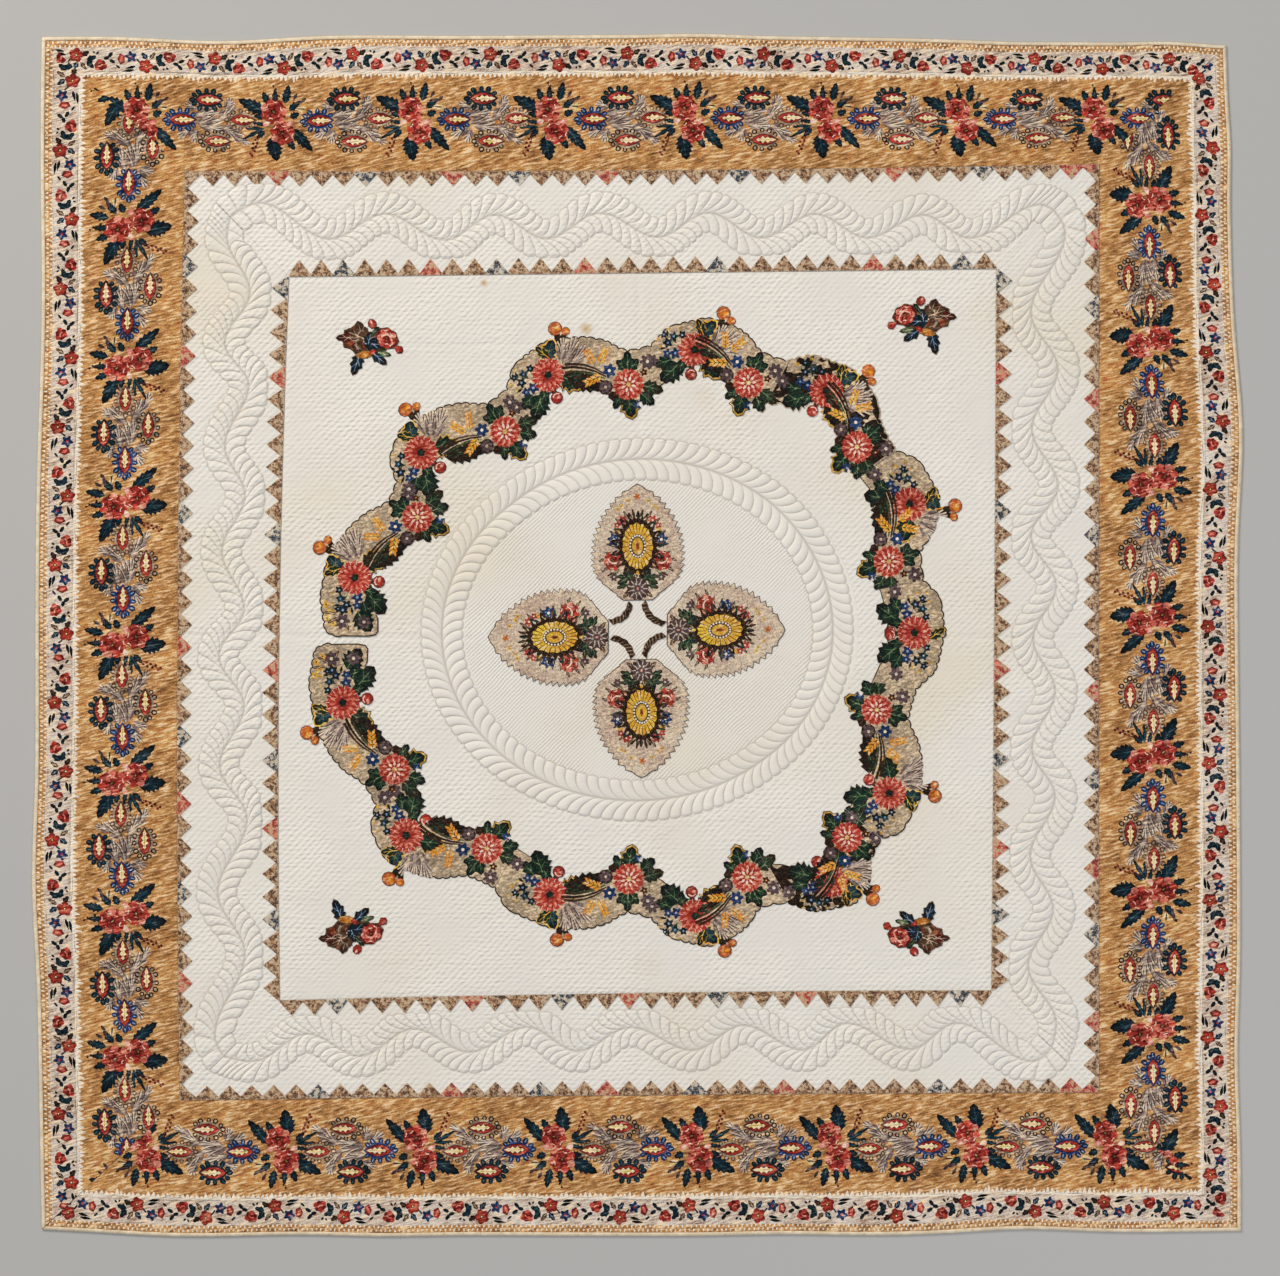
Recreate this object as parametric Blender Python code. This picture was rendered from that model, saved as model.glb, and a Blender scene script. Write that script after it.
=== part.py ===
"""A broderie perse quilt, about 3 m square, lying flat.

A white centre panel with a quilted feather ring carries cut-out chintz: four palms, their rope stems,
a garland of thirteen cut-outs and four corner sprigs. Two toothed patchwork rows and a white border with a
feather vine frame it. Four mitred chintz strips and a narrow binding finish the edge.
Every piece is drawn on a true square and then pulled out of square the way the real cloth has moved.
Metres, +Z up. The origin is at the middle of the underside.
"""

import math

import bmesh
import bpy

# ---------------------------------------------------------------- driving sizes
OUTER_HALF = 1.496  # centre to the finished edge
BINDING_WIDTH = 0.009
CHINTZ_INNER = 1.1525  # centre to the seam of the chintz border
CENTRE_HALF = 0.896  # centre to the seam of the centre panel
SEAM = 0.0004  # left between two pieces that are sewn edge to edge
LIE_GAP = 0.0003  # left between a cut-out and the ground it is sewn on
GROUND = 0.0040  # top, wadding and back together
GROOVE = 0.0034  # height where a line of stitches pulls the layers down
FEATHER_TOP = 0.0063  # height of a stuffed feather
CUT_OUT = 0.0010  # thickness of a cut-out with its turned edge
SEAM_STEPS = 24  # straight runs along each side of a seam
FOLD_DEPTH = 0.0012  # the two fold lines left by storing the quilt in quarters
BINDING_HEIGHTS = (0.0044, 0.0052, 0.0030)  # at its seam, on its crown and at the finished edge
BINDING_CROWN = 0.4  # the crown's place across the binding
FEATHER_NOTCH = 0.82  # reach of the stitches between two feathers, as a share of the feathers' own
FEATHER_BELLY = 0.5  # the highest place along a feather

# feather ring in the centre panel
RING_MIDDLE = (-0.002, 0.012)
RING_WIDE = 0.490
RING_HIGH = 0.425
RING_REACH = 0.050
RING_FEATHERS = 96

# feather vine in the white border
VINE_CORNER = 1.040  # where the vine's stem crosses the diagonals
# Turning points of the stem on each side, in mm: place clockwise along the side and distance from the centre,
# crest and trough in turn
VINE_TURNS = (
    (
        (-964, 1075), (-788, 987), (-646, 1048), (-495, 983), (-367, 1044), (-236, 984), (-101, 1047),
        (46, 986), (172, 1045), (308, 981), (441, 1039), (575, 978), (712, 1033), (831, 974), (1005, 1054),
    ),
    (
        (-986, 1068), (-792, 984), (-656, 1051), (-510, 987), (-370, 1052), (-247, 986), (-124, 1048),
        (7, 992), (137, 1046), (282, 990), (400, 1046), (552, 987), (686, 1042), (832, 983), (977, 1050),
    ),
    (
        (-990, 1074), (-803, 978), (-681, 1043), (-523, 977), (-410, 1043), (-260, 980), (-133, 1041),
        (25, 982), (156, 1040), (284, 978), (426, 1039), (568, 978), (701, 1045), (832, 986), (968, 1054),
    ),
    (
        (-991, 1061), (-784, 983), (-637, 1050), (-453, 975), (-322, 1044), (-173, 983), (-50, 1047),
        (67, 985), (211, 1042), (348, 987), (472, 1039), (622, 984), (728, 1045), (853, 988), (994, 1047),
    ),
)
VINE_REACH = 0.058
VINE_INNER_LIMIT = 0.943
VINE_OUTER_LIMIT = 1.119
VINE_FEATHERS = 32
VINE_LEAN = 0.022  # how far a feather's tip lies ahead of its root
VINE_BELLY_LEAN = 0.45  # share of that lean at its highest place
VINE_CORNER_EASE = 0.06  # part of half a side over which the feathers turn into the mitre

# chintz border
RIDGE_PITCH = 0.072  # between two slanting quilting lines, along the strip
RIDGE_TOP = 0.0055
RIDGE_MARGIN = 0.014

# Toothed rows: name, teeth, seam they stand on, way they point, tooth height, band under the teeth, and the
# length and reach of the mitred patch that fills each corner
TOOTH_ROWS = (
    ("sawtooth_inner", 32, CENTRE_HALF, 1, 0.040, 0.005, 0.0, 0.0),
    ("sawtooth_outer", 40, CHINTZ_INNER, -1, 0.036, 0.007, 0.040, 0.022),
)

# palms: name, way it points from the centre (degrees), base, tip, sideways shift, half width
PALMS = (
    ("palm_top", 90, 0.088, 0.376, 0.006, 0.117),
    ("palm_right", 0, 0.068, 0.368, 0.015, 0.119),
    ("palm_bottom", -90, 0.058, 0.357, 0.004, 0.121),
    ("palm_left", 180, 0.078, 0.378, 0.003, 0.120),
)
PALM_TEETH = 13
PALM_TOOTH = 0.0075
# share of the way from base to tip, share of the half width
PALM_SHAPE = (
    (0.00, 0.34),
    (0.05, 0.47),
    (0.11, 0.68),
    (0.18, 0.88),
    (0.26, 0.98),
    (0.40, 1.00),
    (0.55, 0.95),
    (0.70, 0.79),
    (0.85, 0.50),
    (0.94, 0.25),
    (1.00, 0.00),
)

# rope stems between the palms: name, one end, other end
STEMS = (
    ("stem_upper_left", (-0.0232, 0.0811), (-0.0743, 0.0343)),
    ("stem_upper_right", (0.0092, 0.0828), (0.0612, 0.0294)),
    ("stem_lower_left", (-0.0702, -0.0034), (-0.0183, -0.0527)),
    ("stem_lower_right", (0.0616, 0.0039), (0.0104, -0.0509)),
)
STEM_WIDTH = 0.017
STEM_BOW = 0.012  # towards the middle

# garland: middle, and the flowers of its cut-outs, from the gap at the left
GARLAND_MIDDLE = (-0.0075, -0.010)
GARLAND_ENDS = 179.3  # degrees, where the upper and lower chains begin
# open flower angle and radius, rosette flower angle and radius
UPPER_CHAIN = (
    (167.6, 0.720, 151.0, 0.630),
    (139.5, 0.720, 123.0, 0.618),
    (109.0, 0.695, 92.0, 0.632),
    (78.5, 0.730, 66.0, 0.692),
    (52.0, 0.775, 40.5, 0.728),
    (26.0, 0.765, 17.0, 0.665),
)
LOWER_CHAIN = (
    (-168.0, 0.745, -152.0, 0.680),
    (-140.0, 0.748, -126.0, 0.638),
    (-109.0, 0.672, -92.0, 0.600),
    (-78.0, 0.710, -65.0, 0.660),
    (-51.0, 0.785, -43.0, 0.732),
    (-31.0, 0.748, -16.0, 0.632),
)
LINK_FLOWER = (1.5, 0.702)  # the single flower where the two chains meet at the right
CHAIN_JOINT = 0.35  # a joint's place between a rosette and the next open flower
# Edge of one cut-out. Station 0 is its start, 1 the open flower, 2 the rosette, 3 its end.
# station, reach outwards and reach inwards from the line through the flowers, in mm
CUT_OUT_EDGE = (
    (0.00, 60, 84),
    (0.35, 85, 82),
    (0.60, 82, 58),
    (0.90, 73, 50),
    (0.93, 72, 76),
    (1.07, 82, 76),
    (1.10, 92, 40),
    (1.20, 98, 36),
    (1.22, 140, 34),
    (1.34, 140, 30),
    (1.36, 104, 28),
    (1.55, 112, 24),
    (1.75, 107, 46),
    (1.90, 88, 76),
    (2.00, 86, 78),
    (2.50, 68, 80),
    (3.00, 52, 84),
)
LINK_STATIONS = 1.07  # the link piece is the first part of a cut-out and its mirror image

# corner sprigs: name, middle, turn (degrees)
SPRIGS = (
    ("sprig_top_left", (-0.700, 0.722), 135),
    ("sprig_top_right", (0.720, 0.762), 45),
    ("sprig_bottom_right", (0.715, -0.742), -45),
    ("sprig_bottom_left", (-0.725, -0.718), -135),
)
# a sprig's edge: angle from its main leaf (degrees), reach in mm
SPRIG_EDGE = (
    (0, 82),
    (14, 60),
    (28, 34),
    (52, 44),
    (70, 66),
    (92, 60),
    (112, 38),
    (140, 52),
    (165, 68),
    (190, 58),
    (214, 34),
    (244, 48),
    (268, 62),
    (292, 46),
    (316, 36),
    (344, 62),
)

# ------------------------------------------------------- how the cloth has moved
SIDES = ("top", "right", "bottom", "left")
# Pull of each ring of seams out of the true square, in mm to the right and up.
# half side, then clockwise: top left, top, top right, right, bottom right, bottom, bottom left, left
PULL = (
    (CENTRE_HALF, (19, 1), (0, 11), (-6, 21), (-11, 0), (-18, 11), (0, 4), (-4, -14), (-6, 0)),
    (CHINTZ_INNER, (15, 10), (0, 11), (-5, 27), (-6, 0), (-5, 12), (0, 5), (2, -8), (-4, 0)),
    (OUTER_HALF, (1, 1), (0, 6), (-31, -21), (-1, 0), (6, 9), (0, -4), (1, 14), (-15, 0)),
)
# Slow waves of the outer edge: side, place clockwise along it, half length, bulge in mm
EDGE_WAVES = (
    (0, -1.05, 0.20, -15),
    (0, -0.45, 0.30, -4),
    (0, 0.15, 0.12, 4),
    (0, 0.95, 0.15, -4),
    (0, 1.35, 0.10, 6),
    (1, -1.24, 0.10, 5),
    (1, -0.52, 0.22, 19),
    (1, 1.06, 0.18, -8),
    (2, -0.95, 0.18, -12),
    (2, -0.35, 0.15, -4),
    (2, 0.65, 0.15, 5),
    (2, 1.15, 0.25, 12),
    (3, -0.62, 0.20, 11),
    (3, 0.80, 0.35, -11),
)


def side_point(side, along, out):
    """A place given clockwise along a side and outwards, as x and y."""
    for _ in range(side):
        along, out = out, -along
    return along, out


def side_of(x, y):
    """The side whose quarter of the square holds a point, and the place along it and outwards."""
    if y >= abs(x):
        return 0, x, y
    if x >= abs(y):
        return 1, -y, x
    if -y >= abs(x):
        return 2, -x, -y
    return 3, y, -x


def ring_pull(ring, side, share):
    """Pull of one ring at a share of its side from -1 to 1, through corner, middle and corner."""
    first, middle, last = ring[1 + 2 * side], ring[2 + 2 * side], ring[1 + (2 * side + 2) % 8]
    weights = (share * (share - 1) / 2, 1 - share * share, share * (share + 1) / 2)
    return [
        sum(w * corner[axis] for w, corner in zip(weights, (first, middle, last))) / 1000
        for axis in (0, 1)
    ]


def smooth_pull(side, share, out):
    """Pull at a share of a side and a distance out, between the rings on each side of it."""
    inside, outside = (0.0, None), PULL[0]
    for ring in PULL[1:]:
        if out > outside[0]:
            inside, outside = outside, ring
    mix = min(1.0, (out - inside[0]) / (outside[0] - inside[0]))
    near = ring_pull(inside, side, share) if inside[1] else (0.0, 0.0)
    far = ring_pull(outside, side, share)
    pull = [a + (b - a) * mix for a, b in zip(near, far)]
    edge = max(0.0, (out - CHINTZ_INNER) / (OUTER_HALF - CHINTZ_INNER))
    for wave_side, place, half_length, bulge in EDGE_WAVES:
        if wave_side == side:
            rise = math.exp(-(((share * OUTER_HALF - place) / half_length) ** 2))
            across, outwards = side_point(side, 0.0, bulge / 1000 * rise * edge)
            pull = [pull[0] + across, pull[1] + outwards]
    return pull


def lie(x, y):
    """Where a point of the true square lies on the real quilt. Straight between the seam steps."""
    side, along, out = side_of(x, y)
    if out == 0:
        return x, y
    step = (along / out + 1) / 2 * SEAM_STEPS
    start = min(int(step), SEAM_STEPS - 1)
    before = smooth_pull(side, 2 * start / SEAM_STEPS - 1, out)
    after = smooth_pull(side, 2 * (start + 1) / SEAM_STEPS - 1, out)
    mix = step - start
    return tuple(p + a + (b - a) * mix for p, a, b in zip((x, y), before, after))


def outline_middle():
    """Middle of the box around the finished edge."""
    edge = []
    for side in range(4):
        for step in range(SEAM_STEPS + 1):
            share = 2 * step / SEAM_STEPS - 1
            edge.append(lie(*side_point(side, share * OUTER_HALF, OUTER_HALF)))
    return [(min(p[axis] for p in edge) + max(p[axis] for p in edge)) / 2 for axis in (0, 1)]


MIDDLE = outline_middle()


# ------------------------------------------------------------------ making cloth
def clear_scene():
    for old in list(bpy.data.objects):
        bpy.data.objects.remove(old, do_unlink=True)


def cloth_material(name, colour, roughness):
    material = bpy.data.materials.new(name)
    material.use_nodes = True
    shader = material.node_tree.nodes["Principled BSDF"]
    shader.inputs["Base Color"].default_value = (*colour, 1.0)
    shader.inputs["Roughness"].default_value = roughness
    shader.inputs["Metallic"].default_value = 0.0
    return material


def shaped_grid(columns, rows, place):
    """An open sheet: a grid whose point at column i and row j goes to place(i, j)."""
    sheet = bmesh.new()
    bmesh.ops.create_grid(sheet, x_segments=columns, y_segments=rows, size=0.5)
    for point in sheet.verts:
        column = round((point.co.x + 0.5) * columns)
        row = round((point.co.y + 0.5) * rows)
        point.co = place(column, row)
    return sheet


def shaped_disc(outline, height):
    """A flat sheet inside a closed outline."""
    sheet = bmesh.new()
    bmesh.ops.create_circle(sheet, cap_ends=True, segments=len(outline), radius=1.0)
    for point, (x, y) in zip(sheet.verts, outline):
        point.co = (x, y, height)
    return sheet


def make_piece(name, sheet, underside, material, collection):
    """Lays an open sheet on the quilt, closes it down to a flat underside and makes it an object."""
    for point in sheet.verts:
        x, y = lie(point.co.x, point.co.y)
        point.co.x, point.co.y = x - MIDDLE[0], y - MIDDLE[1]
    upper = list(sheet.verts)
    grown = bmesh.ops.extrude_face_region(sheet, geom=list(sheet.faces), use_keep_orig=True)
    lower = [item for item in grown["geom"] if isinstance(item, bmesh.types.BMVert)]
    for point in lower:
        point.co.z = underside
    if len(lower) != len(upper):
        print(name, "has", len(upper), "upper and", len(lower), "lower points")
    bmesh.ops.recalc_face_normals(sheet, faces=list(sheet.faces))
    mesh = bpy.data.meshes.new(name)
    sheet.to_mesh(mesh)
    sheet.free()
    mesh.materials.append(material)
    piece = bpy.data.objects.new(name, mesh)
    collection.objects.link(piece)
    return piece


def fold(along):
    """How far the fold line at the middle of a side pulls the surface down."""
    return FOLD_DEPTH if abs(along) < 1e-6 else 0.0


# ------------------------------------------------------------------ centre panel
def ring_point(turn, reach):
    """A point on the feather ring's oval, a reach outside its middle line. turn is in radians."""
    x = RING_MIDDLE[0] + (RING_WIDE + reach) * math.cos(turn)
    y = RING_MIDDLE[1] + (RING_HIGH + reach) * math.sin(turn)
    return x, y


def square_point(turn, half):
    """The point of a square's edge that a turn around its middle reaches, in even steps along each side."""
    quarter = (math.degrees(turn) + 45) / 90
    corner = math.floor(quarter + 1e-9)
    share = 2 * (quarter - corner) - 1
    return side_point((1 - corner) % 4, -share * half, half)


def centre_sheet():
    """The panel as a polar grid, whose rows follow the feathers of the ring out to the square edge."""
    columns = 2 * RING_FEATHERS
    edge_half = CENTRE_HALF - SEAM / 2

    def place(column, row):
        turn = 2 * math.pi * column / columns
        in_feather = column % 2 == 1
        tip = RING_REACH if in_feather else FEATHER_NOTCH * RING_REACH
        middle_height = FEATHER_TOP if in_feather else GROOVE
        if row == 5:
            x, y = square_point(turn, edge_half)
            return x, y, GROUND - (FOLD_DEPTH if column % (columns // 4) == 0 else 0.0)
        reach, height = (
            (-tip, GROUND),
            (-FEATHER_BELLY * RING_REACH, middle_height),
            (0.0, GROOVE),
            (FEATHER_BELLY * RING_REACH, middle_height),
            (tip, GROUND),
        )[row]
        return (*ring_point(turn, reach), height)

    sheet = shaped_grid(columns, 5, place)
    bmesh.ops.remove_doubles(sheet, verts=list(sheet.verts), dist=0.0001)
    inner = [
        edge
        for edge in sheet.edges
        if edge.is_boundary and max(abs(v) for v in edge.verts[0].co.xy) < RING_WIDE
    ]
    bmesh.ops.contextual_create(sheet, geom=inner)
    return sheet


# ------------------------------------------------------------------ white border
def ease(value):
    value = min(1.0, max(0.0, value))
    return value * value * (3 - 2 * value)


def vine_place(side, along):
    """Distance of the vine's stem from the centre, at a place along a side. It swings from turn to turn."""
    corner = VINE_CORNER * 1000
    turns = [(-corner, corner), *VINE_TURNS[side], (corner, corner)]
    place = along * 1000
    number = max(i for i, turn in enumerate(turns[:-1]) if turn[0] <= place or i == 0)
    (from_along, from_out), (to_along, to_out) = turns[number : number + 2]
    mix = min(1.0, max(0.0, (place - from_along) / (to_along - from_along)))
    if number == 0:
        mix = math.sin(mix * math.pi / 2)
    elif number == len(turns) - 2:
        mix = 1 - math.cos(mix * math.pi / 2)
    else:
        mix = (1 - math.cos(mix * math.pi)) / 2
    return between(from_out, to_out, mix) / 1000


def feather_border_sheet(side):
    columns = 2 * VINE_FEATHERS

    def place(column, row):
        share = 2 * column / columns - 1
        in_feather = column % 2 == 1
        root = share * (VINE_CORNER - SEAM / 2)
        stem = vine_place(side, share * VINE_CORNER)
        tip = 1.0 if in_feather else FEATHER_NOTCH
        inwards = min(VINE_REACH, stem - VINE_INNER_LIMIT)
        outwards = min(VINE_REACH, VINE_OUTER_LIMIT - stem)
        middle_height = FEATHER_TOP if in_feather else GROOVE
        out, height, lean = (
            (CENTRE_HALF + SEAM / 2, GROUND, 0.0),
            (stem - tip * inwards, GROUND, 1.0),
            (stem - FEATHER_BELLY * inwards, middle_height, VINE_BELLY_LEAN),
            (stem, GROOVE, 0.0),
            (stem + FEATHER_BELLY * outwards, middle_height, VINE_BELLY_LEAN),
            (stem + tip * outwards, GROUND, 1.0),
            (CHINTZ_INNER - SEAM / 2, GROUND, 0.0),
        )[row]
        from_mitre = ease((1 - abs(share)) / VINE_CORNER_EASE)
        mitred = share * (out - SEAM / 2)
        if row not in (0, 6):
            mitred += (root - mitred) * from_mitre
        x, y = side_point(side, mitred + lean * VINE_LEAN * from_mitre, out)
        return x, y, height - fold(share)

    return shaped_grid(columns, 6, place)


# ----------------------------------------------------------------- chintz border
def chintz_border_sheet(side):
    """A strip with slanting ridges, cut to its mitres. The ridges slant the same way all over the quilt."""
    inner = CHINTZ_INNER + SEAM / 2
    outer = OUTER_HALF - BINDING_WIDTH - SEAM / 2
    slant = 1 if side % 2 == 0 else -1
    columns = 2 * math.ceil((2 * outer + (outer - inner)) / RIDGE_PITCH)

    def place(column, row):
        out = (inner, inner + RIDGE_MARGIN, outer - RIDGE_MARGIN, outer)[row]
        along = (column - columns / 2) * RIDGE_PITCH / 2 + slant * (out - (inner + outer) / 2)
        ridge = RIDGE_TOP if column % 2 else GROOVE
        height = ridge if row in (1, 2) else GROUND
        near_fold = max(0.0, 1 - abs(along) / (0.6 * RIDGE_PITCH))
        return along, out, height - FOLD_DEPTH * near_fold

    sheet = shaped_grid(columns, 3, place)
    for end in (-1, 1):
        everything = list(sheet.verts) + list(sheet.edges) + list(sheet.faces)
        bmesh.ops.bisect_plane(
            sheet,
            geom=everything,
            plane_co=(end * (inner - SEAM / 2), inner, 0.0),
            plane_no=(end, -1.0, 0.0),
            clear_outer=True,
        )
    # the outer margin bends with the binding, so it gets a corner at each of the seam's steps
    for step in range(1, SEAM_STEPS):
        share = 2 * step / SEAM_STEPS - 1
        margin = [face for face in sheet.faces if face.calc_center_median().y > outer - RIDGE_MARGIN]
        bmesh.ops.bisect_plane(
            sheet,
            geom=margin + list({edge for face in margin for edge in face.edges}),
            plane_co=(share, 1.0, 0.0),
            plane_no=(1.0, -share, 0.0),
        )
    for point in sheet.verts:
        point.co.x, point.co.y = side_point(side, point.co.x, point.co.y)
    return sheet


def binding_sheet(side):
    inner = OUTER_HALF - BINDING_WIDTH + SEAM / 2
    rows = (inner, inner + BINDING_CROWN * BINDING_WIDTH, OUTER_HALF)

    def place(column, row):
        out, height = rows[row], BINDING_HEIGHTS[row]
        share = 2 * column / SEAM_STEPS - 1
        x, y = side_point(side, share * (out - SEAM / 2), out)
        return x, y, height - fold(share)

    return shaped_grid(SEAM_STEPS, 2, place)


# ------------------------------------------------------------ pieces sewn on top
SIT = GROUND + LIE_GAP
CUT_OUT_TOP = SIT + CUT_OUT


def sawtooth_sheet(side, teeth, seam, way, tooth_height, band, corner, corner_reach):
    base = seam + way * 2 * SEAM
    half = base - 2 * SEAM
    pitch = 2 * (half - corner) / teeth
    edge = [
        (corner - half + step * pitch / 2, tooth_height if step % 2 else band)
        for step in range(2 * teeth + 1)
    ]
    if corner:
        edge = [(-half, corner_reach), *edge, (half, corner_reach)]

    def place(column, row):
        along, reach = edge[column]
        out = base + way * (reach if row else 0.0)
        mitre = out - 2 * SEAM
        x, y = side_point(side, max(-mitre, min(mitre, along)), out)
        return x, y, CUT_OUT_TOP

    return shaped_grid(len(edge) - 1, 1, place)


def turned(x, y, degrees, middle=(0.0, 0.0)):
    turn = math.radians(degrees)
    return (
        middle[0] + x * math.cos(turn) - y * math.sin(turn),
        middle[1] + x * math.sin(turn) + y * math.cos(turn),
    )


def palm_swell(share):
    """Share of a palm's half width at a share of its length."""
    for (low, narrow), (high, wide) in zip(PALM_SHAPE, PALM_SHAPE[1:]):
        if share <= high:
            return narrow + (wide - narrow) * (share - low) / (high - low)
    return 0.0


def palm_outline(degrees, base, tip, shift, half_width):
    """A plump pointed leaf with a toothed edge: up one side from the base, down the other."""
    steps = 2 * PALM_TEETH
    outline = []
    for hand in (-1, 1):
        for step in range(steps + (hand > 0)):
            share = step / steps if hand < 0 else 1 - step / steps
            tooth = PALM_TOOTH if step % 2 else 0.0
            across = hand * ((half_width - PALM_TOOTH) * palm_swell(share) + tooth)
            outline.append(turned(base + share * (tip - base), across + shift, degrees))
    return outline


def stem_outline(start, end):
    """A short bowed strip whose edges wave with the twist of the rope."""
    steps = 7
    middle = [(a + b) / 2 for a, b in zip(start, end)]
    run = math.dist(start, end)
    heading = math.degrees(math.atan2(end[1] - start[1], end[0] - start[0]))
    inwards = -1 if turned(0.0, 1.0, heading)[1] * middle[1] > 0 else 1
    outline = []
    for hand in (-1, 1):
        for step in range(steps + 1):
            share = step / steps if hand < 0 else 1 - step / steps
            bow = inwards * STEM_BOW * math.sin(math.pi * share)
            half = STEM_WIDTH / 2 * (0.85 if step % 2 else 1.0)
            outline.append(turned((share - 0.5) * run, bow + hand * half, heading, middle))
    return outline


def garland_point(angle, radius):
    return turned(radius, 0.0, angle, GARLAND_MIDDLE)


def between(low, high, mix):
    return low + (high - low) * mix


def cut_out_outline(stations, edge_rows):
    """An outline from the angle and radius of whole stations and the rows that reach out and in from them."""
    outer, inner = [], []
    for station, outwards, inwards in edge_rows:
        whole = min(int(station), len(stations) - 2)
        mix = station - whole
        angle = between(stations[whole][0], stations[whole + 1][0], mix)
        radius = between(stations[whole][1], stations[whole + 1][1], mix)
        outer.append(garland_point(angle, radius + outwards / 1000))
        inner.append(garland_point(angle, radius - inwards / 1000))
    return outer + inner[::-1]


def chain_outlines(chain, way):
    """Outlines of the cut-outs of one chain, each from its joint to the next. way is 1 going clockwise."""
    trim = math.degrees(SEAM / 0.7)
    rows = [*chain, (*LINK_FLOWER, 0, 0)]
    start = (way * GARLAND_ENDS, chain[0][1] - 0.02)
    outlines = []
    for flower, following in zip(rows, rows[1:]):
        rosette = flower[2:4]
        joint = [between(a, b, CHAIN_JOINT) for a, b in zip(rosette, following[:2])]
        end = (joint[0] + way * trim, joint[1])
        outlines.append(cut_out_outline((start, flower[:2], rosette, end), CUT_OUT_EDGE))
        start = (joint[0] - way * trim, joint[1])
    return outlines, start


def link_outline(upper_start, lower_start):
    first = [row for row in CUT_OUT_EDGE if row[0] < LINK_STATIONS]
    second = [(2 - station, outwards, inwards) for station, outwards, inwards in first[::-1]]
    return cut_out_outline((upper_start, LINK_FLOWER, lower_start), first + second)


def sprig_outline(middle, degrees):
    return [
        turned(*turned(reach / 1000, 0.0, angle), degrees, middle) for angle, reach in SPRIG_EDGE
    ]


# ------------------------------------------------------------------------- build
def build():
    clear_scene()
    quilt = bpy.data.collections.new("broderie_perse_quilt")
    bpy.context.scene.collection.children.link(quilt)
    white = cloth_material("white_cotton", (0.76, 0.72, 0.66), 0.9)
    tan = cloth_material("border_chintz", (0.52, 0.30, 0.12), 0.75)
    print_patch = cloth_material("patch_print", (0.30, 0.17, 0.10), 0.85)
    palm_chintz = cloth_material("palm_chintz", (0.42, 0.28, 0.20), 0.75)
    flower_chintz = cloth_material("garland_chintz", (0.34, 0.14, 0.10), 0.75)
    edge_cotton = cloth_material("binding_cotton", (0.66, 0.58, 0.44), 0.85)

    make_piece("centre_ground", centre_sheet(), 0.0, white, quilt)
    for side, side_name in enumerate(SIDES):
        make_piece("feather_border_" + side_name, feather_border_sheet(side), 0.0, white, quilt)
        make_piece("chintz_border_" + side_name, chintz_border_sheet(side), 0.0, tan, quilt)
        make_piece("binding_" + side_name, binding_sheet(side), 0.0, edge_cotton, quilt)
        for row_name, *sizes in TOOTH_ROWS:
            sheet = sawtooth_sheet(side, *sizes)
            make_piece(row_name + "_" + side_name, sheet, SIT, print_patch, quilt)

    for name, degrees, base, tip, shift, half_width in PALMS:
        sheet = shaped_disc(palm_outline(degrees, base, tip, shift, half_width), CUT_OUT_TOP)
        make_piece(name, sheet, SIT, palm_chintz, quilt)
    for name, start, end in STEMS:
        make_piece(name, shaped_disc(stem_outline(start, end), CUT_OUT_TOP), SIT, palm_chintz, quilt)
    for name, middle, degrees in SPRIGS:
        sheet = shaped_disc(sprig_outline(middle, degrees), CUT_OUT_TOP)
        make_piece(name, sheet, SIT, flower_chintz, quilt)

    upper, upper_start = chain_outlines(UPPER_CHAIN, 1)
    lower, lower_start = chain_outlines(LOWER_CHAIN, -1)
    outlines = [*upper, link_outline(upper_start, lower_start), *lower[::-1]]
    for number, outline in enumerate(outlines, start=1):
        sheet = shaped_disc(outline, CUT_OUT_TOP)
        make_piece(f"garland_{number:02d}", sheet, SIT, flower_chintz, quilt)


build()
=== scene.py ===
# %% [markdown]
# # A broderie perse quilt
# Broderie perse is an old way to make a costly cloth go further. Flowers are cut out of printed chintz,
# laid out afresh on plain white cotton and sewn down by their edges. Then the top, a thin wadding and a back
# are quilted together, and the stitches pull the layers into soft relief.
# This lesson dresses the plain solids of such a quilt. The white ground becomes real relief, row by row of
# feathers. The prints are drawn as small cut shapes in the cloth's own mesh, as a block printer would lay
# one colour over another, so that every petal has a clean edge from any distance.

# %% Load the solid model
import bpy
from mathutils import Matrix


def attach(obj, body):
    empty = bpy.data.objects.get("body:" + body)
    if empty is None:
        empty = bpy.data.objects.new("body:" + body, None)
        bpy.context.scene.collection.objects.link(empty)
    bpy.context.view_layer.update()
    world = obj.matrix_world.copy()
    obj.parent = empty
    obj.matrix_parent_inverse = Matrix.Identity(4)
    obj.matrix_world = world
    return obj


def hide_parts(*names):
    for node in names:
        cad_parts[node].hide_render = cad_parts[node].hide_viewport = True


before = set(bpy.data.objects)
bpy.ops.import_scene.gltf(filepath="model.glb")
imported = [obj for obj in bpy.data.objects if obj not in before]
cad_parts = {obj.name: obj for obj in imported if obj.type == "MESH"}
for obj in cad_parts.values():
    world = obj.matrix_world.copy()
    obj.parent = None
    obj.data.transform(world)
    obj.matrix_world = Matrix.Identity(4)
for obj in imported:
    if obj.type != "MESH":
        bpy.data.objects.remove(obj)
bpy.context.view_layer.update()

# %% [markdown]
# ## Sizes of the cloth
# The quilt was drawn on a true square and then moved as real cloth does: seams stretch, corners sag and the
# edge waves. The sizes below are the true square's. One function, `lie`, moves any of its points to where it
# lies on the real quilt, so every piece bends with its neighbours and the seams stay closed.

# %% Driving sizes, in metres
import math

import bpy
import numpy as np
from mathutils.geometry import delaunay_2d_cdt

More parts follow.
